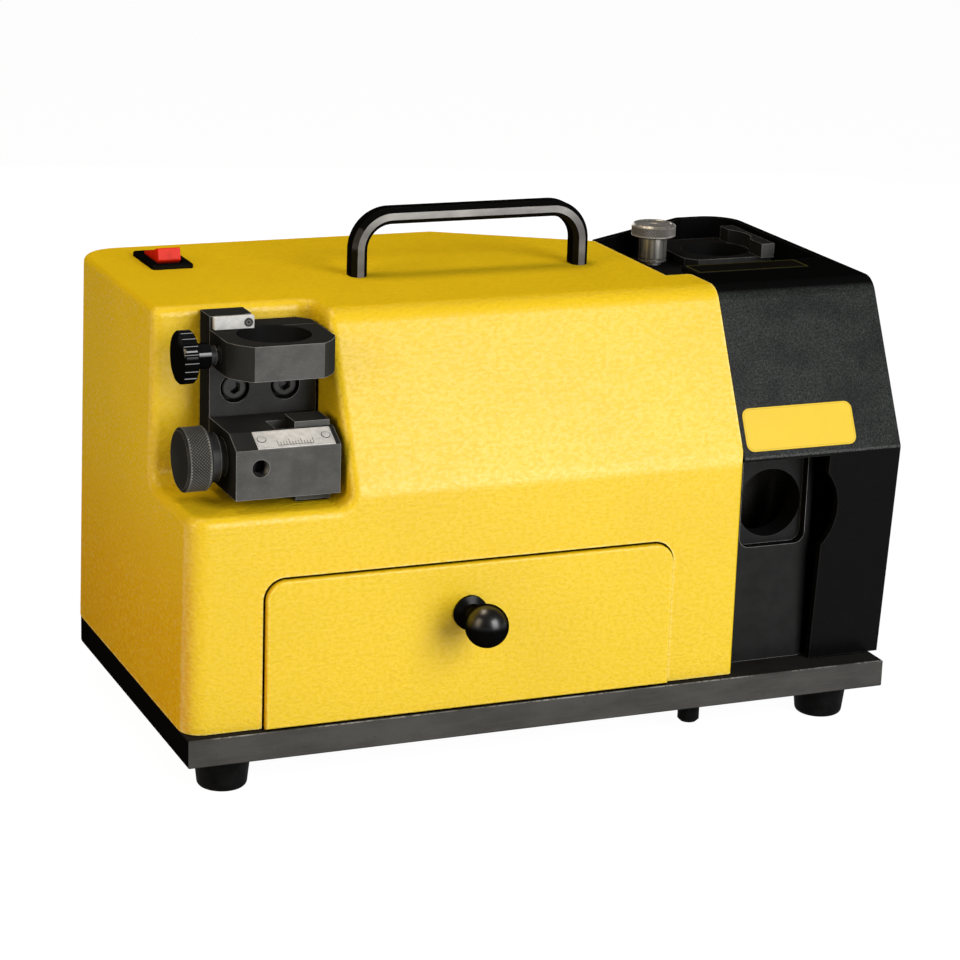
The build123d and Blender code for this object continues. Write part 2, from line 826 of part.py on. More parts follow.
def grinding_wheel():
    """Wheel core: boss and rim at full width, joined by a thinner web."""
    core_radius = wheel_radius - abrasive_thickness
    rim_inner = core_radius - wheel_rim_thickness
    web_low = (wheel_width - wheel_web_thickness) / 2
    web_high = (wheel_width + wheel_web_thickness) / 2
    profile = [(0, wheel_bore_radius), (0, wheel_boss_radius), (web_low, wheel_boss_radius),
               (web_low, rim_inner), (0, rim_inner), (0, core_radius), (wheel_width, core_radius),
               (wheel_width, rim_inner), (web_high, rim_inner), (web_high, wheel_boss_radius),
               (wheel_width, wheel_boss_radius), (wheel_width, wheel_bore_radius)]
    return turned(profile, (front_port_x, *spindle), (1, 0, 0))


def abrasive_rim():
    return spindle_ring(wheel_radius, wheel_radius - abrasive_thickness, front_port_x, top_port_x)


def wheel_flange():
    return spindle_ring(outer_flange_radius, shaft_radius + shaft_fit, top_port_x, outer_flange_right)


def wheel_nut():
    low, high = outer_flange_right, outer_flange_right + wheel_nut_thickness
    sides = Pos(*spindle) * RegularPolygon(wheel_nut_across / 2, 6, major_radius=False)
    return prism_x(sides, low, high) - cross(shaft_radius + shaft_fit, spindle, low - cut, high + cut)


# Drawer
def drawer_front():
    """Panel that stands a little proud of the housing, with its front edges eased."""
    panel = prism_y(drawer_opening(drawer_gap), drawer_face_y, tray_front)
    panel &= block((-reach, reach), (-reach, reach), (body_base, body_top))
    return fillet(panel.faces().sort_by(Axis.Y)[0].edges(), drawer_edge_radius)


def drawer_tray():
    box = block((tray_left, tray_right), (tray_front, tray_back), (tray_base, tray_base + tray_height))
    inner_x = (tray_left + tray_wall, tray_right - tray_wall)
    inner_y = (tray_front + tray_wall, tray_back - tray_wall)
    return box - block(inner_x, inner_y, (tray_base + tray_wall, body_top))


def drawer_runner(side_x, outward):
    """Angle strip on the plate: a ledge under the tray's edge and an upright beside it."""
    inner, outer = side_x - outward * runner_ledge, side_x + outward * (runner_fit + runner_thickness)
    upright = side_x + outward * runner_fit
    points = [(inner, deck), (outer, deck), (outer, deck + runner_height), (upright, deck + runner_height),
              (upright, deck + runner_thickness), (inner, deck + runner_thickness)]
    return prism_y(outline(points), face_y + housing_wall + cut, tray_back)


def drawer_knob():
    contact = (knob_ball_radius ** 2 - knob_neck_radius ** 2) ** 0.5
    base = knob_base_thickness
    profile = Polyline((0, 0), (0, knob_base_radius), (base / 2, knob_base_radius), (base, knob_neck_radius),
                       (knob_reach - contact, knob_neck_radius))
    round_end = ThreePointArc((knob_reach - contact, knob_neck_radius), (knob_reach, knob_ball_radius),
                              (knob_reach + knob_ball_radius, 0))
    closing = Line((knob_reach + knob_ball_radius, 0), (0, 0))
    plane = Plane(origin=(knob_x, drawer_face_y, knob_z), x_dir=(0, -1, 0), z_dir=(1, 0, 0))
    axis = Axis((knob_x, drawer_face_y, knob_z), (0, -1, 0))
    return revolve(plane * make_face([profile, round_end, closing]), axis)


# Handle
def handle():
    """Chamfered bar bent into a bridge; its feet stand on the housing's top."""
    top = body_top + handle_rise - handle_thickness / 2
    (x0, y), (x1, _) = handle_feet()
    bends = [(x0, y, body_top), (x0, y, top), (x1, y, top), (x1, y, body_top)]
    path = FilletPolyline(*bends, radius=handle_bend_radius)
    section = Rectangle(handle_thickness, handle_width)
    section = chamfer(section.vertices(), handle_chamfer)
    bar = sweep(Pos(x0, y, body_top) * section, path)
    for place in handle_feet():
        bar -= upright(handle_screw_radius + screw_clearance, place, body_top - cut,
                       body_top + handle_screw_depth + cut)
    return bar


def handle_screws():
    base = body_top - housing_wall - handle_screw_head_height
    head = handle_screw_head_height
    length = head + housing_wall + handle_screw_depth
    profile = [(0, 0), (0, handle_screw_head_radius), (head, handle_screw_head_radius), (head, handle_screw_radius),
               (length, handle_screw_radius), (length, 0)]
    return Compound([turned(profile, (*place, base), (0, 0, 1)) for place in handle_feet()])


# Switch
def switch_cavity():
    """Half width and half length of the bezel's cavity."""
    wall = switch_rim / 2 + body_seam + switch_body_wall
    return switch_width / 2 - wall, switch_length / 2 - wall


def rocker_pin(growth):
    """Pin on the rocker's axis that ends in the bezel's side walls, grown where it stands for its holes."""
    half = switch_cavity()[0] + rocker_pin_reach + growth
    return cross(rocker_pin_radius + growth, (switch_y, body_top), switch_x - half, switch_x + half)


def switch_bezel():
    rim = Pos(switch_x, switch_y) * RectangleRounded(switch_width, switch_length, switch_corner_radius)
    bezel = prism_z(rim, body_top, body_top + switch_rim_height)
    top_edges = bezel.edges().group_by(Axis.Z)[-1]
    bezel = chamfer(top_edges, switch_rim_height / 4)
    half_x = switch_width / 2 - switch_rim / 2 - body_seam
    half_y = switch_length / 2 - switch_rim / 2 - body_seam
    bezel += block((switch_x - half_x, switch_x + half_x), (switch_y - half_y, switch_y + half_y),
                   (body_top - switch_body_depth, body_top))
    inner_x, inner_y = switch_cavity()
    bezel -= block((switch_x - inner_x, switch_x + inner_x), (switch_y - inner_y, switch_y + inner_y),
                   (body_top - switch_body_depth / 2, body_top + reach))
    return bezel - rocker_pin(rocker_pin_fit)


def switch_rocker():
    """Rocker with its front end up; it turns on its pin, level with the housing's top."""
    inner_x, inner_y = switch_cavity()
    half_x, half_y = inner_x - rocker_side_gap, inner_y - rocker_end_gap
    points = [(-half_y, 0), (0, -rocker_depth), (half_y, 0), (half_y, rocker_tip_height),
              (0, rocker_tip_height - rocker_dip), (-half_y, rocker_tip_height)]
    keel, tip = [rocker_keel_radius] * 3, rocker_tip_radius
    side = Rot(0, 0, -rocker_tilt) * outline(points, [*keel, tip, rocker_dip_radius, tip])
    rocker = prism_x(Pos(switch_y, body_top) * side, switch_x - half_x, switch_x + half_x)
    return rocker + rocker_pin(0)


# Power inlet
def power_inlet():
    def face(width, height, chamfer_size):
        sketch = Rectangle(width, height)
        if chamfer_size:
            sketch = chamfer(sketch.vertices().group_by(Axis.Y)[-1], chamfer_size)
        return Pos(inlet_x, inlet_z) * sketch

    corner = inlet_corner_chamfer
    body = prism_y(Pos(inlet_x, inlet_z) * RectangleRounded(inlet_width, inlet_flange_height, corner),
                   rear, rear + inlet_flange_thickness)
    body += prism_y(face(inlet_body_width, inlet_body_height, 0), rear - inlet_body_depth, rear)
    mouth = rear + inlet_flange_thickness
    socket = face(inlet_socket_width, inlet_socket_height, corner)
    floor = mouth - inlet_socket_depth
    body -= prism_y(socket, floor, mouth + cut)
    for step in (-1, 0, 1):
        pin = Pos(inlet_x + step * inlet_pin_spacing, inlet_z) * Rectangle(inlet_pin_thickness, inlet_pin_width)
        body += prism_y(pin, floor, floor + inlet_pin_length)
    return body


# Setting fixture
def ring_hole(low, high, relief=0.0):
    """Column through the setting ring, as wide as the chuck's running fit, or wider by the relief."""
    return upright(port_radius + relief, (ring_x, ring_y), low, high)


def fixture_plate():
    plate = block((fixture_left, fixture_right), (fixture_plate_y, recess_y), (stop_bottom, ring_top))
    back = plate.faces().sort_by(Axis.Y)[-1]
    near_corner = [back.edges().sort_by(Axis.X)[-1], back.edges().sort_by(Axis.Z)[0]]
    plate = chamfer(near_corner, fixture_back_chamfer)
    plate -= ring_hole(ring_bottom, ring_top + cut)
    ear = block((fixture_left, fixture_left + ear_width), (fixture_plate_y, recess_y),
                (ring_top, ring_top + ear_height))
    plate += ear - ring_hole(ring_top - cut, ring_top + ear_height + cut, ear_relief)
    for x in fixture_screw_places():
        place = (x, fixture_screw_z)
        plate -= lengthwise(screw_radius + screw_clearance, place, fixture_plate_y - cut, recess_y + cut)
        plate -= lengthwise(counterbore_radius, place, fixture_plate_y - cut, fixture_plate_y + counterbore_depth)
    return plate


def fixture_screws():
    seat = fixture_plate_y + counterbore_depth
    length = recess_y - seat + 2 * housing_wall
    seats = [(x, seat, fixture_screw_z) for x in fixture_screw_places()]
    return Compound([socket_screw(place, (0, -1, 0), length) for place in seats])


def setting_ring():
    """Round block with flats on its front and sides, joined to the back plate by a square neck."""
    sides = (fixture_left, fixture_right)
    height = (ring_bottom, ring_top)
    body = upright(ring_radius, (ring_x, ring_y), ring_bottom, ring_top)
    body += block(sides, (ring_y, fixture_plate_y), height)
    body &= block(sides, (ring_y - ring_front_flat, fixture_plate_y), height)
    body -= ring_hole(ring_bottom - cut, ring_top + cut)
    return body - cross(clamp_screw_radius + screw_fit, clamp_axis, fixture_left - cut, ring_x)


def stop_block():
    section = outline([(stop_y, stop_bottom), (stop_y, stop_front_top), (stop_y + stop_slope_depth, stop_top),
                       (fixture_plate_y, stop_top), (fixture_plate_y, stop_bottom)])
    body = prism_x(section, fixture_left, fixture_right - stop_end_gap)
    body -= block((slide_left - slide_travel - slide_fit, slide_right + slide_fit),
                  (slide_front - slide_fit, slide_back + slide_fit), (stop_bottom - cut, stop_top + cut))
    body -= cross(stop_screw_radius + screw_fit, stop_axis, fixture_left - cut, slide_right)
    hole = (fixture_left + tapped_hole_from_left, recess_z + tapped_hole_height)
    return body - lengthwise(tapped_hole_radius, hole, stop_y - cut, stop_y + tapped_hole_depth)


def stop_slide():
    """Bar that crosses the stop block, with a keeper foot below it."""
    low = recess_z + keeper_gap
    sides = (slide_left, slide_right)
    bar = block(sides, (slide_front, slide_back), (low, stop_top + slide_proud))
    bar += block(sides, (slide_front - keeper_reach, slide_front), (low, low + keeper_thickness))
    return bar - cross(stop_screw_radius + screw_fit, stop_axis, slide_left - cut, slide_right + cut)


def stop_knob():
    rim_end = stop_knob_width
    collar_end = rim_end + stop_collar_width
    neck_end = collar_end + stop_neck_width
    bore = stop_screw_radius + shaft_fit
    bevel = stop_knob_chamfer
    profile = [(0, 0), (0, stop_knob_radius - bevel), (bevel, stop_knob_radius),
               (rim_end - bevel, stop_knob_radius), (rim_end, stop_knob_radius - bevel),
               (rim_end, stop_collar_radius), (collar_end, stop_collar_radius), (collar_end, stop_neck_radius),
               (neck_end, stop_neck_radius), (neck_end, bore), (rim_end / 2, bore), (rim_end / 2, 0)]
    return turned(profile, (stop_knob_left, *stop_axis), (1, 0, 0))


def stop_screw():
    return cross(stop_screw_radius, stop_axis, stop_knob_left + stop_knob_width / 2, slide_right - slide_fit)


def clamp_knob():
    """Moulded knob with a domed face, a fluted rim and a hub behind it."""
    rim_left = clamp_knob_right - clamp_knob_width
    width = clamp_knob_width
    hub_end = width + clamp_hub_width
    bevel = width / 8
    bore = clamp_screw_radius + shaft_fit
    crown = clamp_knob_radius - bevel
    profile = [(0, 0), (0, crown), (bevel, clamp_knob_radius), (width - bevel, clamp_knob_radius), (width, crown),
               (width, clamp_hub_radius), (hub_end, clamp_hub_radius), (hub_end, bore), (width / 2, bore),
               (width / 2, 0)]
    start = (rim_left, *clamp_axis)
    knob = turned(profile, start, (1, 0, 0))
    flute_circle = clamp_knob_radius + clamp_flute_radius / 3
    for index in range(clamp_flutes):
        angle = 2 * pi * index / clamp_flutes
        flute = (ring_y + flute_circle * cos(angle), clamp_z + flute_circle * sin(angle))
        knob -= cross(clamp_flute_radius, flute, rim_left - cut, clamp_knob_right + cut)
    face_arc = ThreePointArc((-clamp_knob_dome, 0), (-clamp_knob_dome * 0.75, crown / 2), (0, crown))
    dome = make_face([face_arc, Line((0, crown), (0, 0)), Line((0, 0), (-clamp_knob_dome, 0))])
    plane = Plane(origin=start, x_dir=(1, 0, 0), z_dir=(0, 0, 1))
    return knob + revolve(plane * dome, Axis(start, (1, 0, 0)))


def clamp_screw():
    collar_left = clamp_knob_right + clamp_hub_width
    start = clamp_knob_right - clamp_knob_width / 2
    screw = cross(clamp_screw_radius, clamp_axis, start, clamp_pad_root - screw_fit)
    return screw + cross(clamp_collar_radius, clamp_axis, collar_left, collar_left + clamp_collar_width)


def clamp_pad():
    return cross(clamp_screw_radius, clamp_axis, clamp_pad_root, clamp_pad_tip)


def pieces():
    """Every piece of the machine by name."""
    parts = {"base_plate": base_plate()}
    for name, (x, y) in feet_places().items():
        parts[name] = foot(x, y)
    makers = [
        foot_screws, base_peg, housing, end_cover, port_bracket, carriage_shelf, guide_pins, port_carriage,
        top_port_block, port_fence, edge_knob, edge_screw, handle, handle_screws, switch_bezel, switch_rocker,
        drawer_front, drawer_tray, drawer_knob, fixture_plate, setting_ring, stop_block, stop_slide, stop_knob,
        stop_screw, clamp_knob, clamp_screw, clamp_pad, fixture_screws, motor_can, stator, rotor, motor_shaft,
        wheel_hub, grinding_wheel, abrasive_rim, wheel_flange, wheel_nut, power_inlet,
    ]
    for make in makers:
        parts[make.__name__] = make()
    parts["left_runner"] = drawer_runner(tray_left, -1)
    parts["right_runner"] = drawer_runner(tray_right, 1)
    parts["motor_end_bell"] = motor_end(motor_left, motor_can_left, 1)
    parts["motor_flange"] = motor_end(motor_can_right, motor_face_x, -1)
    parts["left_bearing"] = bearing(motor_can_left, 1)
    parts["right_bearing"] = bearing(motor_can_right, -1)
    return parts


os.makedirs("parts", exist_ok=True)
for node, shape in pieces().items():
    export_step(shape, f"parts/{node}.step")
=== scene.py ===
import json
import math

import bmesh
import bpy
from bpy.props import FloatProperty, FloatVectorProperty, IntProperty, PointerProperty
from bpy.types import Operator, Panel, PropertyGroup, Scene
from mathutils import Matrix, Vector


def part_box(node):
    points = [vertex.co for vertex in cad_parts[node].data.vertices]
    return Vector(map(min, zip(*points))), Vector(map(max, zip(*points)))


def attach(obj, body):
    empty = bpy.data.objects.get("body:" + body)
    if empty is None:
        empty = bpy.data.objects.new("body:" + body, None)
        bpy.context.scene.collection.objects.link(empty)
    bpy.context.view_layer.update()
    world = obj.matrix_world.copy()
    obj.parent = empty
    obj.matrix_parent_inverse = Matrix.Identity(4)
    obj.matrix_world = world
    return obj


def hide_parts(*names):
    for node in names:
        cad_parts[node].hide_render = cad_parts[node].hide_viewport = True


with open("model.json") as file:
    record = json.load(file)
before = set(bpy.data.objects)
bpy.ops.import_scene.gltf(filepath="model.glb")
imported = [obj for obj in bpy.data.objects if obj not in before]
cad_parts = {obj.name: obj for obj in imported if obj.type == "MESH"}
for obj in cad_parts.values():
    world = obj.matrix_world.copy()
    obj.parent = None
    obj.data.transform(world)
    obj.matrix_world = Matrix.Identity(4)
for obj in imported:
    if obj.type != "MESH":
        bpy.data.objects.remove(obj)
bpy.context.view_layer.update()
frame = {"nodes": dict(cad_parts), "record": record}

bl_info = {
    "name": "Endmill grinder dressing",
    "version": (1, 0, 0),
    "blender": (4, 5, 0),
    "location": "View3D > Sidebar > Grinder",
    "description": "Finishes, knobs, plates and studio for a bench grinder for end mills",
    "category": "Object",
}

MM = 0.001
UP, DOWN, FRONT, BACK, LEFT = (0, 0, 1), (0, 0, -1), (0, -1, 0), (0, 1, 0), (-1, 0, 0)
RAY_REACH = 20 * MM


def paint(name, description, colour):
    """Opaque colour that a user may change."""
    return FloatVectorProperty(
        name=name, description=description, subtype="COLOR", size=4, default=(*colour, 1.0))


def trim_length(name, description, length):
    """Length that a user may change."""
    return FloatProperty(name=name, description=description, unit="LENGTH", default=length)


class FinishColours(PropertyGroup):
    """Colours of the grinder's finishes, in linear light."""

    casting_yellow: paint("Casting yellow", "Paint on the housing and the drawer", (0.86, 0.585, 0.012))
    cover_black: paint("Cover black", "Fine textured paint on the wheel cover", (0.004, 0.004, 0.0042))
    gloss_black: paint("Gloss black", "Lacquer on the handle and moulded knobs", (0.003, 0.003, 0.003))
    oxide_black: paint("Oxide black", "Blackened steel of fixture and ports", (0.0235, 0.0245, 0.0245))
    # Painted sheen: the grey painted on blackened faces turned to the front.
    oxide_sheen: paint("Rubbed oxide", "Blackened steel where hands have rubbed it", (0.088, 0.090, 0.088))
    plate_steel: paint("Plate steel", "Ground steel of the base plate", (0.057, 0.056, 0.053))
    # Also the painted highlight on the base plate's front arris.
    bright_steel: paint("Bright steel", "Bare steel of plates, screws and worn edges", (0.66, 0.66, 0.65))
    satin_nickel: paint("Satin nickel", "Plating of the edge knob", (0.56, 0.535, 0.49))
    rocker_red: paint("Rocker red", "Plastic of the switch rocker", (0.68, 0.020, 0.006))
    label_yellow: paint("Label yellow", "Film of the plate on the cover's slope", (0.78, 0.54, 0.035))
    border_olive: paint("Olive border", "Line round the dark plate on the cover", (0.075, 0.07, 0.018))


class TrimSizes(PropertyGroup):
    """Sizes of the plates and the knurling."""

    label_length: trim_length("Label length", "Length of the yellow plate", 53.1 * MM)
    label_height: trim_length("Label height", "Height of the yellow plate along the slope", 19.0 * MM)
    label_radius: trim_length("Label corner", "Corner radius of the yellow plate", 3.6 * MM)
    knurl_pitch: trim_length("Knurl pitch", "Distance between knurl points round a knob", 1.35 * MM)
    knurl_depth: trim_length("Knurl depth", "Height of a knurl point", 0.35 * MM)
    scale_ticks: IntProperty(
        name="Scale ticks", description="Number of spaces on the stop's scale", default=12)


class StudioSettings(PropertyGroup):
    """Camera and lamps."""

    lens: FloatProperty(
        name="Lens", description="Focal length on a 36 mm sensor", unit="CAMERA", default=111.70)
    camera_place: FloatVectorProperty(
        name="Camera place", description="Where the camera stands", subtype="TRANSLATION",
        default=(-0.4950, -1.1611, 0.4675))
    camera_aim: FloatVectorProperty(
        name="Camera aim", description="Direction of view", subtype="DIRECTION",
        default=(0.37726, 0.88228, -0.28152))
    camera_right: FloatVectorProperty(
        name="Camera right", description="Direction to the right in the picture", subtype="DIRECTION",
        default=(0.92267, -0.38425, 0.03222))
    key_level: FloatProperty(
        name="Key level", description="Light of the front lamp on a face turned to it", default=0.955)
    side_level: FloatProperty(
        name="Side level", description="Light of the left lamp on a face turned to it", default=0.33)
    top_level: FloatProperty(
        name="Top level", description="Light of the overhead lamp on a face turned to it", default=0.31)
    back_level: FloatProperty(
        name="Back level", description="Light of the lamp behind on a face turned to it", default=0.26)
    side_tint: FloatVectorProperty(
        name="Side tint", description="Colour of the left lamp",
        subtype="COLOR", default=(1.0, 0.82, 0.60))
    top_tint: FloatVectorProperty(
        name="Top tint", description="Colour of the overhead lamp",
        subtype="COLOR", default=(1.0, 0.84, 0.64))
    room_level: FloatProperty(
        name="Room level", description="Even light from all round", default=0.08)


class Socket:
    """A node's output; arithmetic on it adds Math nodes to its finish."""

    def __init__(self, finish, output):
        self.finish = finish
        self.output = output

    def math(self, operation, first, second=0.0):
        return self.finish.node("ShaderNodeMath", {"operation": operation}, {0: first, 1: second})

    def __add__(self, other):
        return self.math("ADD", self, other)

    def __radd__(self, other):
        return self.math("ADD", other, self)

    def __sub__(self, other):
        return self.math("SUBTRACT", self, other)

    def __rsub__(self, other):
        return self.math("SUBTRACT", other, self)

    def __mul__(self, other):
        return self.math("MULTIPLY", self, other)

    def __rmul__(self, other):
        return self.math("MULTIPLY", other, self)

    def highest(self, other):
        return self.math("MAXIMUM", self, other)

    def lowest(self, other):
        return self.math("MINIMUM", self, other)

    def ramp(self, low, high):
        """Smooth step from 0 at low to 1 at high."""
        return self.finish.node("ShaderNodeMapRange", {"interpolation_type": "SMOOTHSTEP"},
                                {"Value": self, "From Min": low, "From Max": high})


class Finish:
    """A material being made: its nodes, and the surface that they feed."""

    def __init__(self, name):
        self.material = bpy.data.materials.new(name)
        self.material.use_nodes = True
        self.tree = self.material.node_tree
        self.tree.nodes.clear()
        self.place = self.node("ShaderNodeTexCoord", output="Object")

    def node(self, kind, settings=None, inputs=None, output=0):
        """Adds a node with its settings, then its inputs, and gives one of its outputs."""
        made = self.tree.nodes.new(kind)
        for key, value in (settings or {}).items():
            setattr(made, key, value)
        for key, value in (inputs or {}).items():
            if isinstance(value, Socket):
                self.tree.links.new(value.output, made.inputs[key])
            else:
                made.inputs[key].default_value = value
        return Socket(self, made.outputs[output])

    def vector(self, operation, first, second=(0, 0, 0), output="Vector"):
        """Vector Math node; dot products and lengths come out at Value."""
        return self.node("ShaderNodeVectorMath", {"operation": operation}, {0: first, 1: second}, output)

    def grain(self, size, stretch=(1, 1, 1), detail=2.0, rough=0.5):
        """Noise with spots of about that size in metres, drawn out along the axes by stretch."""
        scale = tuple(1 / (size * part) for part in stretch)
        place = self.vector("MULTIPLY", self.place, scale)
        return self.node("ShaderNodeTexNoise", {},
                         {"Vector": place, "Scale": 1.0, "Detail": detail, "Roughness": rough})

    def mix(self, factor, first, second):
        """Blend of two colours."""
        return self.node("ShaderNodeMix", {"data_type": "RGBA"}, {0: factor, 6: first, 7: second}, output=2)

    def face(self, axis):
        """How far the surface faces along that axis."""
        normal = self.node("ShaderNodeNewGeometry", output="Normal")
        return self.vector("DOT_PRODUCT", normal, axis, "Value")

    def edges(self, width):
        """One along the edges, nought on the flats."""
        soft = self.node("ShaderNodeBevel", {"samples": 6}, {"Radius": width})
        hard = self.node("ShaderNodeNewGeometry", output="Normal")
        same = self.vector("DOT_PRODUCT", soft, hard, "Value")
        return (1 - same).ramp(0.02, 0.2)

    def crevice(self, depth):
        """One far down narrow gaps, nought in the open: the mask for painted shade."""
        open_sky = self.node("ShaderNodeAmbientOcclusion", {"samples": 6}, {"Distance": depth}, output="AO")
        return 1 - open_sky.ramp(0.32, 0.52)

    def square_on(self, low=0.4, high=0.66):
        """One where the surface is seen square on, nought where it is seen at a grazing angle."""
        graze = self.node("ShaderNodeLayerWeight", {}, {"Blend": 0.5}, output="Facing")
        return 1 - graze.ramp(low, high)

    def from_axis(self, centre, across):
        """Distance from an axis through the centre, measured along the axes where across is 1."""
        offset = self.vector("SUBTRACT", self.place, centre)
        flat = self.vector("MULTIPLY", offset, across)
        return self.vector("LENGTH", flat, output="Value")

    def bump(self, height, depth, strength):
        """Normal of a surface with that height of relief."""
        return self.node("ShaderNodeBump", {}, {"Height": height, "Strength": strength, "Distance": depth})

    def surface(self, colour, roughness, **sockets):
        """Joins the shader to the output; sockets hold the shader's other inputs by name."""
        inputs = {"Base Color": colour, "Roughness": roughness}
        inputs.update({key.replace("_", " "): value for key, value in sockets.items()})
        shader = self.node("ShaderNodeBsdfPrincipled", {}, inputs)
        self.node_to_output(shader)
        return self.material

    def coated(self, colour, roughness, gloss, coat_roughness, **sockets):
        """Surface that shines only by a clear coat of that weight and roughness."""
        return self.surface(colour, roughness, Coat_Weight=gloss, Coat_Roughness=coat_roughness,
                            Specular_IOR_Level=0.0, **sockets)

    def node_to_output(self, shader):
        """Makes that shader the surface of the material."""
        end = self.tree.nodes.new("ShaderNodeOutputMaterial")
        self.tree.links.new(shader.output, end.inputs["Surface"])


def tone(colour, factor):
    """The colour made lighter or darker, as four numbers."""
    return tuple(min(1.0, part * factor) for part in tuple(colour)[:3]) + (1.0,)


def neutral(level):
    """Black, grey or white of that level."""
    return (level, level, level, 1.0)


def colours():
    """The user's colours."""
    return bpy.context.scene.grinder_colours


def trim():
    """The user's trim sizes."""
    return bpy.context.scene.grinder_trim


def dress(material, *names):
    """Gives CAD nodes their finish."""
    for name in names:
        data = frame["nodes"][name].data
        data.materials.clear()
        data.materials.append(material)


def casting_paint():
    """Semi-gloss yellow, fine orange peel; painted highlights on arrises, painted shade in gaps and low at
    the left end.
    """
    finish = Finish("Casting paint")
    yellow = colours().casting_yellow
    peel = finish.grain(1.4 * MM, stretch=(1.6, 1.6, 1), detail=4, rough=0.6)
    drift = finish.grain(60 * MM)
    edge = finish.edges(2.5 * MM)
    body = finish.mix(drift.ramp(0.3, 0.7), tone(yellow, 0.97), tone(yellow, 1.03))
    grained = finish.mix(peel.ramp(0.25, 0.6), tone(yellow, 0.95), body)
    low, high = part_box("housing")
    tall = high.z - low.z
    rise = finish.from_axis(low, UP).ramp(0.1 * tall, 0.7 * tall)
    # Painted shade: the left end is painted a deeper orange low down, broken up by the peel.
    painted_left_shade = finish.face(LEFT).ramp(0.5, 0.9) * (1 - rise) * (1 - 0.5 * peel.ramp(0.4, 0.6))
    left_shaded = finish.mix(painted_left_shade, grained, (0.82, 0.43, 0.004, 1.0))
    # Painted highlight: pale paint along the arrises, broken up by the peel.
    highlighted = finish.mix(edge * peel.ramp(0.35, 0.6) * 0.75, left_shaded, (1.0, 0.82, 0.30, 1.0))
    # Painted shade: dark brown in narrow gaps.
    gap_shaded = finish.mix(finish.crevice(2.5 * MM), highlighted, (0.006, 0.003, 0.0005, 1.0))
    roughness = 0.45 + 0.12 * drift
    lit = finish.square_on(0.42, 0.68) * (0.72 + 0.65 * peel.ramp(0.38, 0.64))
    fleck = finish.grain(0.9 * MM, detail=3, rough=0.6).ramp(0.49, 0.66)
    fleck = fleck * (1 - finish.face(UP).ramp(0.3, 0.8))
    gloss = lit.highest(fleck * (0.6 - 0.4 * painted_left_shade))
    return finish.coated(gap_shaded, roughness, gloss, 0.4, Normal=finish.bump(peel, 0.8 * MM, 0.9))


def cover_paint():
    """Black paint with a fine dry texture, a grainy painted sheen on the slope, and painted highlights on
    fold and edges.
    """
    finish = Finish("Textured black paint")
    black = colours().cover_black
    speck = finish.grain(0.7 * MM, detail=4, rough=0.8)
    patch = finish.grain(17 * MM, detail=3)
    slope_normal, fold_normal = (0.0, -0.90, 0.44), (0.0, -0.975, 0.222)
    # Painted sheen: the slope is painted grey where it faces the front, broken up by grain and patches.
    slope = finish.face(slope_normal).ramp(0.90, 0.985) * (0.6 + 0.4 * patch.ramp(0.3, 0.58))
    edge = finish.edges(1.0 * MM)
    body = finish.mix(speck.ramp(0.52, 0.72), tone(black, 0.7), tone(black, 2.0))
    slope_sheened = finish.mix(slope * speck.ramp(0.28, 0.74), body, (0.041, 0.047, 0.0445, 1.0))
    # Painted highlight: grey along the fold and the edges.
    fold = finish.face(fold_normal).ramp(0.978, 0.995)
    painted_sheen = (0.4 * edge).highest(fold) * speck.ramp(0.35, 0.62)
    highlighted = finish.mix(painted_sheen * 0.6, slope_sheened, (0.10, 0.102, 0.10, 1.0))
    roughness = 0.5 + 0.16 * patch
    sparkle = finish.square_on(0.45, 0.7) * (0.10 + 0.25 * slope * speck.ramp(0.5, 0.72))
    return finish.coated(highlighted, roughness, sparkle, 0.3, Normal=finish.bump(speck, 0.2 * MM, 0.9))


def gloss_lacquer(name, coat_roughness, coat_ior, dull, glossy, ball=None):
    """Black lacquer under a clear coat that fades below.

    Dull and glossy are how far up a surface faces where the coat starts and where it is full. A ball is a
    centre and a radius: what is beyond it, and the point where it was turned, are duller.
    """
    finish = Finish(name)
    black = colours().gloss_black
    dust = finish.grain(0.5 * MM, detail=3, rough=0.7)
    smear = finish.grain(7 * MM, stretch=(3, 1, 1))
    body = finish.mix(dust.ramp(0.62, 0.8), black, tone(black, 3.0))
    upper = finish.face(UP).ramp(dull, glossy)
    gloss = finish.square_on() * upper * (0.85 + 0.15 * smear)
    if ball:
        centre, radius = ball
        beyond = finish.from_axis(centre, (1, 1, 1)).ramp(1.02 * radius, 1.2 * radius)
        off_point = finish.from_axis(centre, (1, 0, 1)).ramp(0.03 * radius, 0.09 * radius)
        gloss = gloss * (1 - 0.75 * beyond) * off_point
    return finish.coated(body, 0.4 + 0.1 * dust, gloss, coat_roughness, Coat_IOR=coat_ior)


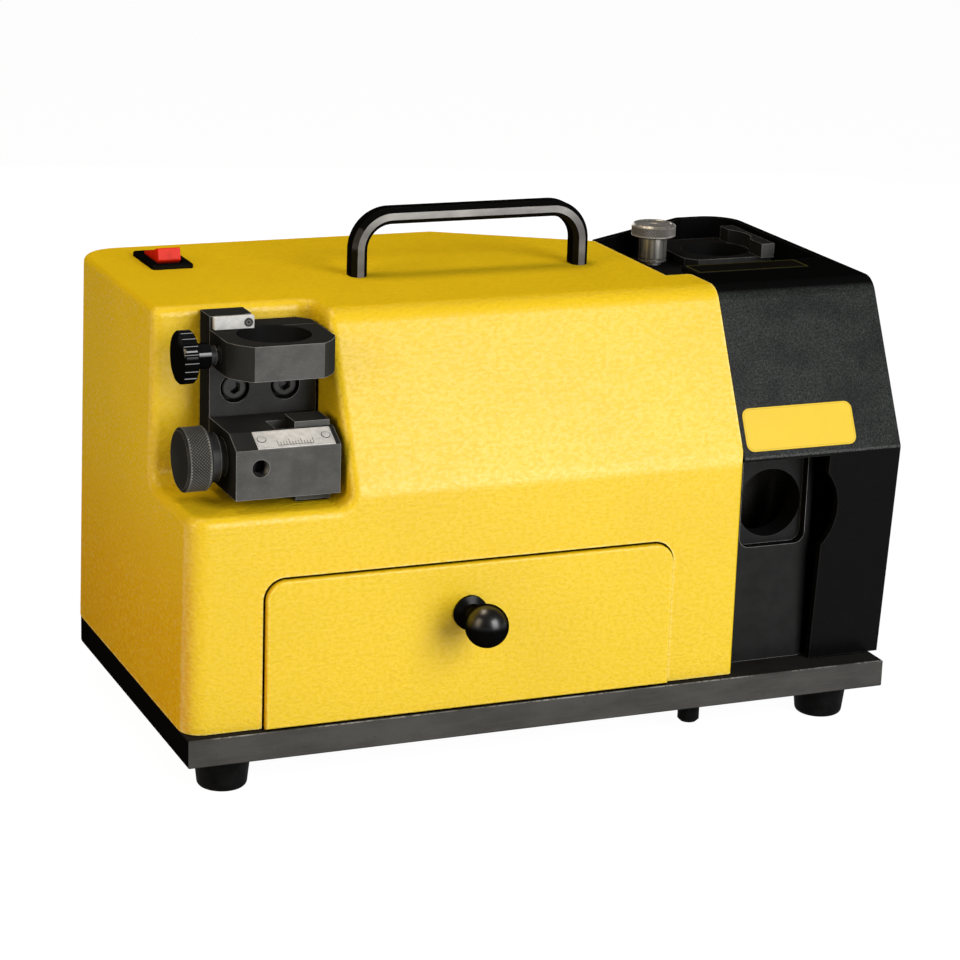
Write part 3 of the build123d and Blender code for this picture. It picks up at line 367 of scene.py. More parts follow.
def handle_lacquer():
    """Black lacquer with a grey painted reflection along the front flats, and thin painted highlights on
    its arrises.
    """
    finish = Finish("Handle lacquer")
    black = colours().gloss_black
    lines = finish.grain(0.7 * MM, stretch=(30, 30, 30))
    smear = finish.grain(12 * MM, stretch=(2, 1, 1), detail=3)
    dust = finish.grain(0.5 * MM, detail=3, rough=0.7)
    low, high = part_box("handle")
    rise = high.z - low.z
    bar = finish.from_axis(low, UP).ramp(0.45 * rise, 0.9 * rise)
    # Painted reflection: the front flats are painted grey, stronger on the bar than down the legs.
    front = finish.face(FRONT).ramp(0.94, 0.99) * (0.42 + 0.58 * bar)
    front_reflection = finish.mix(smear.ramp(0.3, 0.7), (0.24, 0.245, 0.26, 1.0), (0.47, 0.48, 0.50, 1.0))
    body = finish.mix(front * (0.85 + 0.15 * lines), black, front_reflection)
    # Painted highlight: thin grey lines along the arrises.
    rimmed = finish.mix(finish.edges(0.3 * MM) * smear.ramp(0.4, 0.6) * 0.5, body, neutral(0.3))
    gloss = finish.square_on(0.3, 0.6) * 0.2
    return finish.coated(rimmed, 0.4 + 0.1 * dust, gloss, 0.1)


def bore(mount, within=None):
    """Centre, cross axes and radius of one of the record's bores, and the node whose height bounds it."""
    found = next(item for item in frame["record"]["mounts"] if item["name"] == mount)
    across = tuple(1 - abs(part) for part in found["axis"])
    return found["pos_m"], across, found["dims"]["r_mm"] * MM, within


def oxide_steel(name="Black oxide steel", painted_sheen=1.0, depth=1.0, hole=None, flank=1.0):
    """Blackened steel, grey in front as a painted sheen, smudges, thin bright edges; a hole painted black
    as shade.

    Flank is how light the sides turned to the left are painted beside the top: a painted shade.
    """
    finish = Finish(name)
    black, grey, bright = tone(colours().oxide_black, depth), colours().oxide_sheen, colours().bright_steel
    smudge = finish.grain(9 * MM, detail=4, rough=0.6)
    scratch = finish.grain(1.0 * MM, stretch=(7, 1, 0.4), detail=3)
    speck = finish.grain(0.4 * MM)
    front = finish.face(FRONT).ramp(0.82, 0.97)
    edge = finish.edges(0.55 * MM) * smudge.ramp(0.15, 0.5)
    if hole:
        centre, across, radius, within = hole
        outside = finish.from_axis(centre, across).ramp(radius, radius + 0.3 * MM)
        edge = edge * outside
        if within:
            low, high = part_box(within)
            half = (high.z - low.z) / 2
            beyond = finish.from_axis((low + high) / 2, UP).ramp(half, half + 0.3 * MM)
            outside = outside.highest(beyond)
    # Painted sheen: faces turned to the front are painted grey, varied by smudges; scratches and specks
    # show only there.
    wear_and_sheen = front * (0.68 + 0.36 * smudge.ramp(0.3, 0.68)) * painted_sheen
    # Painted shade: sides turned to the left are painted darker by flank.
    left = finish.face(LEFT).ramp(0.25, 0.85)
    body = finish.mix(wear_and_sheen, finish.mix(left, black, tone(black, flank)), grey)
    streaked = finish.mix(scratch.ramp(0.56, 0.72) * wear_and_sheen * 0.4, body, tone(grey, 1.5))
    marked = finish.mix(speck.ramp(0.65, 0.76) * wear_and_sheen * 0.7, streaked, tone(grey, 2.2))
    rimmed = finish.mix(edge * 0.9, marked, tone(bright, 0.5))
    # Painted shade: the inside of the hole is painted near black.
    if hole:
        rimmed = finish.mix(outside, neutral(0.009), rimmed)
    # Painted shade: near black in narrow gaps.
    gap_shaded = finish.mix(finish.crevice(1.5 * MM), rimmed, neutral(0.002))
    gloss = finish.square_on() * (0.1 + 0.2 * smudge)
    roughness = 0.45 + 0.2 * smudge
    return finish.coated(gap_shaded, roughness, gloss, 0.35, Normal=finish.bump(speck, 0.02 * MM, 0.5))


def screw_oxide(name, axes, socket, rim):
    """Blackened socket screws: a grey ring of painted sheen on each head, between painted shade in its
    socket and at its rim.
    """
    finish = Finish(name)
    black, grey = colours().oxide_black, colours().oxide_sheen
    smudge = finish.grain(2.5 * MM, detail=3)
    reach = finish.from_axis(axes[0], (1, 0, 1))
    for axis in axes[1:]:
        reach = reach.lowest(finish.from_axis(axis, (1, 0, 1)))
    past_socket = reach.ramp(socket - 0.15 * MM, socket + 0.15 * MM)
    ring_mask = past_socket * (1 - reach.ramp(rim - 0.3 * MM, rim + 0.3 * MM))
    # Painted shade in the socket and at the rim; the ring between is painted grey as a sheen.
    body = finish.mix(ring_mask * (0.7 + 0.3 * smudge), tone(black, 0.3), tone(grey, 0.8))
    gloss = (finish.square_on() * (0.3 + 0.2 * smudge)).highest(1 - past_socket)
    return finish.coated(body, 0.4 + 0.2 * smudge, gloss, 0.15)


def ground_plate():
    """Dark steel with grinding lines along the plate, a smudged front, black ends, painted arris highlight,
    painted gap shade.
    """
    finish = Finish("Ground steel")
    steel, bright = colours().plate_steel, colours().bright_steel
    lines = finish.grain(0.5 * MM, stretch=(60, 60, 1), detail=3)
    cloud = finish.grain(22 * MM, stretch=(2, 2, 0.7), detail=4, rough=0.6)
    spots = finish.grain(1.6 * MM, detail=3, rough=0.7)
    body = finish.mix(cloud.ramp(0.3, 0.7), tone(steel, 0.75), tone(steel, 1.25))
    lined = finish.mix(lines.ramp(0.45, 0.75) * 0.22, body, tone(steel, 1.7))
    marked = finish.mix(spots.ramp(0.6, 0.75) * 0.5, lined, tone(steel, 0.5))
    ends = finish.face(LEFT).ramp(0.5, 0.8)
    upper = finish.face(UP).ramp(0.9, 0.98)
    ended = finish.mix(ends.highest(upper * 0.7), marked, neutral(0.004))
    # Painted highlight: a pale line along the front's upper chamfer.
    arris = finish.face((0, -0.7071, 0.7071)).ramp(0.93, 0.98) * spots.ramp(0.35, 0.55)
    rimmed = finish.mix(arris * cloud.ramp(0.4, 0.65) * 0.7, ended, tone(bright, 0.6))
    # Painted shade: near black in narrow gaps.
    gap_shaded = finish.mix(finish.crevice(2.0 * MM), rimmed, neutral(0.002))
    roughness = 0.45 + 0.2 * cloud
    gloss = finish.square_on() * 0.25
    return finish.coated(gap_shaded, roughness, gloss, 0.3, Normal=finish.bump(lines, 0.01 * MM, 0.4))


def bare_steel(name, drawn=(1, 1, 12), metallic=0.9):
    """Bare steel with fine lines and a few dull spots."""
    finish = Finish(name)
    bright = colours().bright_steel
    lines = finish.grain(0.25 * MM, stretch=drawn, detail=3)
    dull = finish.grain(3 * MM, detail=4, rough=0.65)
    body = finish.mix(dull.ramp(0.3, 0.7), tone(bright, 0.85), tone(bright, 1.1))
    lined = finish.mix(lines.ramp(0.45, 0.7) * 0.25, body, tone(bright, 0.55))
    roughness = 0.28 + 0.22 * dull
    return finish.surface(lined, roughness, Metallic=metallic, Normal=finish.bump(lines, 0.01 * MM, 0.5))


def nickel_plating():
    """Warm nickel plating of a soft lustre, with fine lines down the stem."""
    finish = Finish("Satin nickel")
    nickel = colours().satin_nickel
    streak = finish.grain(1.1 * MM, stretch=(1, 1, 40), detail=3)
    stain = finish.grain(2.5 * MM, detail=3)
    edge = finish.edges(0.35 * MM)
    body = finish.mix(streak.ramp(0.35, 0.62), tone(nickel, 0.42), tone(nickel, 1.1))
    stained = finish.mix(stain.ramp(0.5, 0.75) * 0.5, body, tone(nickel, 0.4))
    rimmed = finish.mix(edge * 0.6, stained, tone(nickel, 1.5))
    top = finish.face(UP).ramp(0.8, 0.95)
    dulled = finish.mix(top * 0.9, rimmed, tone(nickel, 0.15))
    metallic = (0.9 - 0.2 * stain) * (1 - 0.8 * top)
    return finish.surface(dulled, 0.28 + 0.15 * stain + 0.3 * top, Metallic=metallic,
                          Normal=finish.bump(streak, 0.01 * MM, 0.4), Specular_IOR_Level=0.1)


def knurl_steel(name, colour, centre, across, tip):
    """Knurled band: pale points at the tip radius, and painted shade dark in the grooves between them."""
    finish = Finish(name)
    depth = trim().knurl_depth
    raised = finish.from_axis(centre, across).ramp(tip - depth, tip - 0.1 * depth)
    wear_and_sheen = finish.grain(4 * MM, detail=3)
    # Painted shade: the grooves are painted near black.
    groove = tone(colour, 0.08)
    body = finish.mix(raised * (0.6 + 0.4 * wear_and_sheen), groove, colour)
    return finish.surface(body, 0.34 + 0.1 * wear_and_sheen, Metallic=0.55 * raised, Specular_IOR_Level=0.15)


def foot_rubber():
    """Matt black rubber."""
    finish = Finish("Foot rubber")
    grit = finish.grain(0.6 * MM, detail=4, rough=0.7)
    wear_and_sheen = finish.grain(6 * MM, detail=3)
    body = finish.mix(wear_and_sheen.ramp(0.35, 0.7), neutral(0.002), neutral(0.006))
    return finish.surface(body, 0.6 + 0.2 * grit, Normal=finish.bump(grit, 0.05 * MM, 0.5),
                          Specular_IOR_Level=0.04)


def moulded_plastic(name, colour, coat_roughness=0.2):
    """Moulded plastic with a fine spark texture and slightly pale edges."""
    finish = Finish(name)
    spark = finish.grain(0.4 * MM)
    haze = finish.grain(5 * MM, detail=3)
    edge = finish.edges(0.4 * MM)
    body = finish.mix(haze.ramp(0.3, 0.7), tone(colour, 0.9), tone(colour, 1.1))
    rimmed = finish.mix(edge * 0.25, body, tone(colour, 1.6))
    gloss = finish.square_on() * (0.1 + 0.1 * haze)
    relief = finish.bump(spark, 0.015 * MM, 0.4)
    return finish.coated(rimmed, 0.5 + 0.12 * haze, gloss, coat_roughness, Normal=relief)


def rolled_sheet():
    """Cold rolled sheet with rolling lines."""
    finish = Finish("Rolled sheet")
    lines = finish.grain(0.8 * MM, stretch=(1, 40, 1), detail=3)
    cloud = finish.grain(20 * MM, detail=3)
    body = finish.mix(cloud, (0.30, 0.30, 0.31, 1.0), (0.46, 0.46, 0.47, 1.0))
    lined = finish.mix(lines.ramp(0.5, 0.8) * 0.4, body, (0.22, 0.22, 0.23, 1.0))
    return finish.surface(lined, 0.38 + 0.2 * cloud, Metallic=0.9,
                          Normal=finish.bump(lines, 0.02 * MM, 0.4))


def cast_metal(name, low, high, roughness=0.5, metallic=0.8):
    """Unpainted cast or sintered metal with a sandy skin."""
    finish = Finish(name)
    sand = finish.grain(0.9 * MM, detail=4, rough=0.6)
    cloud = finish.grain(12 * MM, detail=3)
    body = finish.mix(cloud.ramp(0.3, 0.7), low, high)
    speckled = finish.mix(sand.ramp(0.55, 0.75) * 0.5, body, tone(low, 0.6))
    return finish.surface(speckled, roughness + 0.2 * sand, Metallic=metallic,
                          Normal=finish.bump(sand, 0.08 * MM, 0.6))


def stacked_laminations():
    """Thin sheets stacked along the shaft."""
    finish = Finish("Stacked laminations")
    sheets = finish.grain(0.9 * MM, stretch=(1, 60, 60), detail=1)
    cloud = finish.grain(10 * MM, detail=3)
    body = finish.mix(sheets.ramp(0.4, 0.6), (0.10, 0.10, 0.11, 1.0), (0.26, 0.26, 0.27, 1.0))
    return finish.surface(body, 0.45 + 0.2 * cloud, Metallic=0.8,
                          Normal=finish.bump(sheets, 0.1 * MM, 0.6))


def bonded_abrasive():
    """Grey grit in a dark bond."""
    finish = Finish("Bonded abrasive")
    grit = finish.grain(0.5 * MM, detail=3, rough=0.7)
    glint = finish.grain(0.22 * MM, detail=1)
    body = finish.mix(grit.ramp(0.4, 0.6), (0.012, 0.011, 0.01, 1.0), (0.05, 0.047, 0.04, 1.0))
    lit = finish.mix(glint.ramp(0.68, 0.75), body, (0.25, 0.24, 0.2, 1.0))
    return finish.surface(lit, 0.55 + 0.3 * grit, Normal=finish.bump(grit, 0.15 * MM, 0.8))


def label_film(name, colour, sheen):
    """Printed film with a faint grain."""
    finish = Finish(name)
    grain = finish.grain(0.5 * MM)
    fade = finish.grain(15 * MM)
    body = finish.mix(fade, tone(colour, 0.94), tone(colour, 1.06))
    gloss = finish.square_on() * 0.25
    roughness = sheen + 0.1 * grain
    return finish.coated(body, roughness, gloss, 0.3, Normal=finish.bump(grain, 0.01 * MM, 0.3))


def sharpen(bm, flat=(), angle=30):
    """Shades all but flat finishes smooth, with sharp edges where faces turn by more than the angle."""
    for item in bm.faces:
        item.smooth = item.material_index not in flat
    for item in bm.edges:
        item.smooth = item.calc_face_angle(0.0) < math.radians(angle)


def mesh_object(name, bm, *materials):
    """Object in the scene, made of the mesh, with those finishes."""
    data = bpy.data.meshes.new(name)
    bm.to_mesh(data)
    bm.free()
    for material in materials:
        data.materials.append(material)
    made = bpy.data.objects.new(name, data)
    bpy.context.scene.collection.objects.link(made)
    return made


def add_piece(name, bm, body, slot, *materials, flat=()):
    """Makes an object of the mesh, lets it ride on a CAD body and gives it its finish."""
    bm.normal_update()
    bmesh.ops.recalc_face_normals(bm, faces=bm.faces)
    sharpen(bm, flat)
    piece = mesh_object(name, bm, *materials)
    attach(piece, body)
    return piece


def ring(bm, points):
    """Corners of the mesh at those points."""
    return [bm.verts.new(point) for point in points]


def bridge(bm, low, high, material=0):
    """Wall between two closed rings with the same number of points."""
    for index in range(len(low)):
        after = (index + 1) % len(low)
        made = bm.faces.new((low[index], low[after], high[after], high[index]))
        made.material_index = material


def rounded_outline(length, height, radius, steps=7):
    """Points round a rectangle with round corners, about its middle."""
    points = []
    for quarter, (side, rise) in enumerate(((1, 1), (-1, 1), (-1, -1), (1, -1))):
        middle = Vector((side * (length / 2 - radius), rise * (height / 2 - radius)))
        for step in range(steps + 1):
            angle = math.radians(90 * (quarter + step / steps))
            points.append(middle + radius * Vector((math.cos(angle), math.sin(angle))))
    return points


def seat(node, start, direction):
    """Frame on a CAD surface that a ray meets: X along the part, Z out of the surface."""
    hit, place, normal, _ = frame["nodes"][node].ray_cast(Vector(start), Vector(direction))
    if not hit:
        raise RuntimeError(f"no surface of {node} lies there")
    across = (Vector((1, 0, 0)) - normal * normal.x).normalized()
    up = normal.cross(across)
    return Matrix.Translation(place) @ Matrix((across, up, normal)).transposed().to_4x4()


def bordered_plate(bm, place, length, height, radius, thickness, border_from, border_width):
    """Thin plate with round corners, a rolled edge and a border; the border is the second finish."""
    roll = min(thickness * 0.4, 0.2 * MM)

    def level(inset, rise):
        flat = rounded_outline(length - 2 * inset, height - 2 * inset, max(radius - inset, 0.2 * MM))
        return ring(bm, [place @ Vector((point.x, point.y, rise)) for point in flat])

    levels = [level(0, 0), level(0, thickness - roll), level(roll, thickness),
              level(border_from, thickness), level(border_from + border_width, thickness)]
    bm.faces.new(list(reversed(levels[0])))
    for low, high in zip(levels, levels[1:]):
        bridge(bm, low, high, 1 if high is levels[-1] else 0)
    bm.faces.new(levels[-1])


def turned(bm, place, profile, around, knurls=(), second_rows=()):
    """Turned solid from (height, radius) points: knurled in knurl rows, second finish on the walls of
    second rows.
    """
    rings = []
    for row, (height, radius) in enumerate(profile):
        points = []
        for step in range(around):
            depth = trim().knurl_depth if row in knurls and (step + row) % 2 else 0.0
            angle = 2 * math.pi * step / around
            reach = radius - depth
            points.append(place @ Vector((reach * math.cos(angle), reach * math.sin(angle), height)))
        rings.append(ring(bm, points))
    bm.faces.new(list(reversed(rings[0])))
    for row, (low, high) in enumerate(zip(rings, rings[1:])):
        if row in knurls or row + 1 in knurls:
            knurl_row(bm, low, high, row)
        else:
            bridge(bm, low, high, 1 if row in second_rows else 0)
    bm.faces.new(rings[-1])


def knurl_row(bm, low, high, row):
    """Wall of triangles between two rings, split so that the points left standing become small pyramids."""
    for step in range(len(low)):
        after = (step + 1) % len(low)
        corners = [low[step], low[after], high[after], high[step]]
        if (step + row) % 2 == 0:
            corners = corners[1:] + corners[:1]
        for triangle in (corners[:3], [corners[0], *corners[2:]]):
            bm.faces.new(triangle).material_index = 1


def knurled_profile(before, low, high, radius, after):
    """Profile with a knurled band between two heights, and the rows of the band."""
    rows = max(2, round((high - low) / (trim().knurl_pitch / 2)))
    band = [(low + (high - low) * row / rows, radius) for row in range(rows + 1)]
    first = len(before)
    return before + band + after, range(first + 1, first + rows)


class PieceOperator:
    """What the operators share."""

    bl_options = {"REGISTER", "UNDO"}


class GRINDER_OT_casting(PieceOperator, Operator):
    """Paints the housing and the drawer's front"""
    bl_idname = "grinder.casting"
    bl_label = "Casting"

    def execute(self, context):
        dress(casting_paint(), "housing", "drawer_front")
        return {"FINISHED"}


class GRINDER_OT_cover(PieceOperator, Operator):
    """Paints the wheel cover and blackens the bracket behind its window"""
    bl_idname = "grinder.cover"
    bl_label = "Wheel cover"

    def execute(self, context):
        dress(cover_paint(), "end_cover")
        bracket_oxide = oxide_steel("Bracket oxide", painted_sheen=0.06, hole=bore("front_port"), depth=0.3)
        dress(bracket_oxide, "port_bracket")
        dress(oxide_steel("Shelf oxide", painted_sheen=0.1, depth=0.4), "carriage_shelf")
        return {"FINISHED"}


class GRINDER_OT_base(PieceOperator, Operator):
    """Finishes the plate, its feet, their screws and the peg"""
    bl_idname = "grinder.base"
    bl_label = "Base"

    def execute(self, context):
        dress(ground_plate(), "base_plate")
        feet = [f"{end}_{side}_foot" for end in ("front", "rear") for side in ("left", "right")]
        dress(foot_rubber(), *feet, "base_peg")
        dress(bare_steel("Foot screw steel"), "foot_screws")
        return {"FINISHED"}


class GRINDER_OT_handle(PieceOperator, Operator):
    """Lacquers the handle"""
    bl_idname = "grinder.handle"
    bl_label = "Handle"

    def execute(self, context):
        dress(handle_lacquer(), "handle")
        dress(bare_steel("Handle screw steel"), "handle_screws")
        return {"FINISHED"}


class GRINDER_OT_switch(PieceOperator, Operator):
    """Finishes the switch and the power inlet"""
    bl_idname = "grinder.switch"
    bl_label = "Switch and inlet"

    def execute(self, context):
        dress(moulded_plastic("Bezel plastic", neutral(0.004)), "switch_bezel")
        dress(moulded_plastic("Rocker plastic", colours().rocker_red), "switch_rocker")
        dress(moulded_plastic("Inlet plastic", neutral(0.008), 0.35), "power_inlet")
        return {"FINISHED"}


class GRINDER_OT_drawer(PieceOperator, Operator):
    """Finishes the drawer's tray, runners and ball knob"""
    bl_idname = "grinder.drawer"
    bl_label = "Drawer"

    def execute(self, context):
        dress(rolled_sheet(), "drawer_tray", "left_runner", "right_runner")
        low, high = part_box("drawer_knob")
        radius = (high.x - low.x) / 2
        ball = (low + Vector((radius, radius, radius)), radius)
        lacquer = gloss_lacquer("Ball knob lacquer", coat_roughness=0.29, coat_ior=1.7,
                                dull=0.0, glossy=0.55, ball=ball)
        dress(lacquer, "drawer_knob")
        return {"FINISHED"}


class GRINDER_OT_fixture(PieceOperator, Operator):
    """Blackens the setting fixture and its screws"""
    bl_idname = "grinder.fixture"
    bl_label = "Setting fixture"

    def execute(self, context):
        dress(oxide_steel(flank=0.6), "stop_block", "stop_slide")
        dress(oxide_steel("Ring oxide", hole=bore("setting_bore"), flank=0.65), "setting_ring")
        ring_hole = bore("setting_bore", "setting_ring")
        dress(oxide_steel("Back plate oxide", painted_sheen=0.25, hole=ring_hole, flank=0.5), "fixture_plate")
        dress(oxide_steel("Screw oxide", painted_sheen=0.2), "stop_screw", "clamp_screw")
        plastic = gloss_lacquer("Clamp knob plastic", coat_roughness=0.06, coat_ior=1.6,
                                dull=0.12, glossy=0.38)
        dress(plastic, "clamp_knob")
        low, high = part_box("fixture_screws")
        head = (high.z - low.z) / 2
        axes = [(x, low.y, low.z + head) for x in (low.x + head, high.x - head)]
        socket, rim_width = 2.6 * MM, 0.6 * MM
        dress(screw_oxide("Head oxide", axes, socket, head - rim_width), "fixture_screws")
        brass = cast_metal("Pad brass", (0.42, 0.28, 0.09, 1.0), (0.56, 0.40, 0.14, 1.0), 0.3, 0.9)
        dress(brass, "clamp_pad")
        return {"FINISHED"}


class GRINDER_OT_fixture_trim(PieceOperator, Operator):
    """Adds the stop's scale, the thread in its hole, the bright strip on the ear and the strip's screw"""
    bl_idname = "grinder.fixture_trim"
    bl_label = "Fixture trim"

    mark_height = 0.02 * MM
    round_points = 36

    def execute(self, context):
        steel = bare_steel("Scale steel", drawn=(10, 1, 1), metallic=0.0)
        self.scale(steel)
        self.ear_strip(steel)
        self.hole_thread()
        return {"FINISHED"}

    def scale(self, steel):
        """Plate on the stop block's slope, with ticks and two rivets."""
        # One finish for the printed ticks and for the painted shadow round each rivet.
        ink_and_shade = moulded_plastic("Scale ink", neutral(0.02), 0.4)
        low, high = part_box("stop_block")
        length, height, thickness = 32.8 * MM, 10.2 * MM, 0.3 * MM
        from_left, from_front = 25.7 * MM, 4.75 * MM
        above = (low.x + from_left, low.y + from_front, high.z + RAY_REACH)
        place = seat("stop_block", above, DOWN)
        bm = bmesh.new()
        bordered_plate(bm, place, length, height, 0.3 * MM, thickness, 0.5 * MM, 0.05 * MM)
        ticks, width = trim().scale_ticks, 15 * MM
        foot, line = -height / 2 + 1.5 * MM, 0.2 * MM
        long_tick, short_tick, base_line, long_every = 3.2 * MM, 1.8 * MM, 0.25 * MM, 4
        for tick in range(ticks + 1):
            tall = short_tick if tick % long_every else long_tick
            self.mark(bm, place, (tick / ticks - 0.5) * width, foot, line, tall, thickness)
        self.mark(bm, place, 0, foot - line, width + line, base_line, thickness)
        # Painted shadow: the dark ring out to the shade radius and each rivet's side.
        rivet_inset, rivet_up, shade, radius = 2.8 * MM, 0.4 * MM, 1.95 * MM, 1.7 * MM
        rivet = [(0.0, shade), (self.mark_height, shade), (self.mark_height, radius), (0.18 * MM, radius),
                 (0.3 * MM, radius - 0.25 * MM)]
        for side in (-1, 1):
            spot = place @ Matrix.Translation((side * (length / 2 - rivet_inset), rivet_up, thickness))
            turned(bm, spot, rivet, around=28, second_rows=(0, 1, 2))
        add_piece("stop_scale", bm, "frame", "bright_steel", steel, ink_and_shade)

    def mark(self, bm, place, across, up, width, tall, floor):
        """One thin line, just proud of the plate's face."""
        rows = []
        for level in (floor, floor + self.mark_height):
            corners = ((-1, 0), (1, 0), (1, 1), (-1, 1))
            rows.append(ring(bm, [place @ Vector((across + side * width / 2, up + step * tall, level))
                                  for side, step in corners]))
        bridge(bm, rows[0], rows[1], 1)
        for row in rows:
            bm.faces.new(row).material_index = 1

    def ear_strip(self, steel):
        """Bar on the front of the back plate's ear, held by one socket screw."""
        low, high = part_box("fixture_plate")
        ear_width, ear_height, start = 18.2 * MM, 5.5 * MM, 1.2 * MM
        length, height, thickness = ear_width - start, 5.2 * MM, 2.4 * MM
        before = (low.x + start + length / 2, low.y - RAY_REACH, high.z - ear_height / 2)
        place = seat("fixture_plate", before, BACK)
        bm = bmesh.new()
        bordered_plate(bm, place, length, height, 0.3 * MM, thickness, 0.5 * MM, 0.05 * MM)
        add_piece("ear_strip", bm, "frame", "bright_steel", steel)
        screw_inset, radius, socket, rise = 2.5 * MM, 1.85 * MM, 1.0 * MM, 0.4 * MM
        head = place @ Matrix.Translation((length / 2 - screw_inset, 0, thickness))
        outline = [(0.0, radius, False), (rise - 0.15 * MM, radius, False),
                   (rise, radius - 0.2 * MM, False), (rise, socket, True), (0.1 * MM, socket, True)]
        bm = bmesh.new()
        rings = [self.head_ring(bm, head, *row) for row in outline]
        for first, second in zip(rings, rings[1:]):
            bridge(bm, first, second)
        bm.faces.new(list(reversed(rings[0])))
        bm.faces.new(rings[-1])
        add_piece("ear_screw", bm, "frame", "black_oxide", oxide_steel("Ear screw oxide", painted_sheen=0.2))

    def head_ring(self, bm, place, height, radius, hexagon):
        """Ring of points, round or drawn in to a hexagon."""
        points = []
        half_side = math.pi / 6
        for step in range(self.round_points):
            angle = 2 * math.pi * step / self.round_points
            reach = radius
            if hexagon:
                off_flat = (angle + half_side) % (2 * half_side) - half_side
                reach = radius * math.cos(half_side) / math.cos(off_flat)
            points.append(place @ Vector((reach * math.cos(angle), reach * math.sin(angle), height)))
        return ring(bm, points)

    def hole_thread(self):
        """Ridges of the thread inside the stop block's tapped hole."""
        low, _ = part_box("stop_block")
        from_left, from_base = 10.4 * MM, 12.8 * MM
        mouth = Vector((low.x + from_left, low.y, low.z + from_base))
        place = Matrix.Translation(mouth) @ Matrix.Rotation(-math.pi / 2, 4, "X")
        root, crest, pitch, turns, start = 3.68 * MM, 3.15 * MM, 0.9 * MM, 7, 0.25 * MM
        rows = [(start, root)]
        for turn in range(turns):
            rows.append(((turn + 0.8) * pitch, crest))
            rows.append(((turn + 1.3) * pitch, root - 0.06 * MM))
        rows.append((rows[-1][0], root))
        bm = bmesh.new()
        rings = [self.head_ring(bm, place, height, radius, False) for height, radius in rows]
        for first, second in zip(rings, [*rings[1:], rings[0]]):
            bridge(bm, first, second)
        thread = cast_metal("Thread steel", neutral(0.02), (0.10, 0.10, 0.095, 1.0), 0.25, 0.6)
        add_piece("hole_thread", bm, "frame", "black_oxide", thread)


class GRINDER_OT_knobs(PieceOperator, Operator):
    """Makes the knurled stop knob and the knurled edge knob"""
    bl_idname = "grinder.knobs"
    bl_label = "Knurled knobs"

    def execute(self, context):
        self.stop_knob()
        self.edge_knob()
        return {"FINISHED"}

    def around(self, radius):
        """Points round a knurled band of that radius: two for each pitch."""
        return 2 * round(2 * math.pi * radius / trim().knurl_pitch)

    def stop_knob(self):
        """Knob on the left of the fixture: dimpled face, knurled band and two collars."""
        low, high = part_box("stop_knob")
        middle = Vector((low.x, (low.y + high.y) / 2, (low.z + high.z) / 2))
        radius = (high.z - low.z) / 2
        place = Matrix.Translation(middle) @ Matrix.Rotation(math.pi / 2, 4, "Y")
        bevel, band, collar = 1.0 * MM, 10.8 * MM, 14.8 * MM
        dimple, dimple_rim, wide, narrow = 2.0 * MM, 3.2 * MM, 10.0 * MM, 8.0 * MM
        before = [(0.5 * MM, dimple), (0.25 * MM, dimple_rim), (0.1 * MM, radius - bevel - 0.6 * MM),
                  (0.0, radius - bevel - 0.2 * MM), (0.15 * MM, radius - bevel),
                  (bevel - 0.3 * MM, radius - 0.25 * MM)]
        after = [(band - 0.5 * MM, radius - 0.5 * MM), (band, radius - bevel), (band, wide),
                 (collar, wide), (collar, narrow), (high.x - low.x, narrow)]
        profile, rows = knurled_profile(before, bevel, band - bevel, radius, after)
        bm = bmesh.new()
        turned(bm, place, profile, self.around(radius), rows)
        oxide = oxide_steel("Stop knob oxide", painted_sheen=0.3)
        knurl = knurl_steel("Stop knob knurl", (0.20, 0.20, 0.19, 1.0), middle, (0, 1, 1), radius)
        knob = add_piece("stop_knob_knurled", bm, "stop_dial", "black_oxide", oxide, knurl, flat=(1,))
        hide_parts("stop_knob")

    def edge_knob(self):
        """Knob in the cover's well: grooved stem, knurled head and dished top."""
        low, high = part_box("edge_knob")
        middle = Vector(((low.x + high.x) / 2, (low.y + high.y) / 2, low.z))
        radius, stem, head_height = (high.x - low.x) / 2, 6.4 * MM, 6.0 * MM
        place = Matrix.Translation(middle)
        top = high.z - low.z
        head = top - head_height
        groove_low, groove_high, groove = 1.0 * MM, 1.8 * MM, stem - 0.8 * MM
        before = [(0.0, stem - 0.2 * MM), (0.2 * MM, stem), (groove_low, stem), (groove_low, groove),
                  (groove_high, groove), (groove_high, stem - 0.15 * MM), (2.0 * MM, stem), (head, stem),
                  (head, radius - 0.9 * MM)]
        dish, socket_floor, socket = top - 0.35 * MM, top - 0.9 * MM, 2.6 * MM
        after = [(top - 0.5 * MM, radius - 0.4 * MM), (top, radius - 1.0 * MM), (top, radius - 2.0 * MM),
                 (dish, radius - 2.3 * MM), (dish, socket), (socket_floor, socket - 0.4 * MM),
                 (socket_floor, 0.5 * MM)]
        profile, rows = knurled_profile(before, head + 0.7 * MM, top - 0.8 * MM, radius, after)
        bm = bmesh.new()
        turned(bm, place, profile, self.around(radius), rows)
        knurl = knurl_steel("Edge knob knurl", tuple(colours().satin_nickel), middle, (1, 1, 0), radius)
        knob = add_piece("edge_knob_knurled", bm, "edge_dial", "nickel", nickel_plating(), knurl, flat=(1,))
        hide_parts("edge_knob")


class GRINDER_OT_top_port(PieceOperator, Operator):
    """Blackens the top port, its fence and the carriage"""
    bl_idname = "grinder.top_port"
    bl_label = "Top port"

    def execute(self, context):
        port_oxide = oxide_steel("Port oxide", painted_sheen=0.4, hole=bore("top_port"), depth=0.45)
        dress(port_oxide, "top_port_block", "port_carriage")
        dress(oxide_steel("Fence oxide", depth=0.7), "port_fence")
        dress(bare_steel("Edge screw steel"), "edge_screw", "guide_pins")
        return {"FINISHED"}


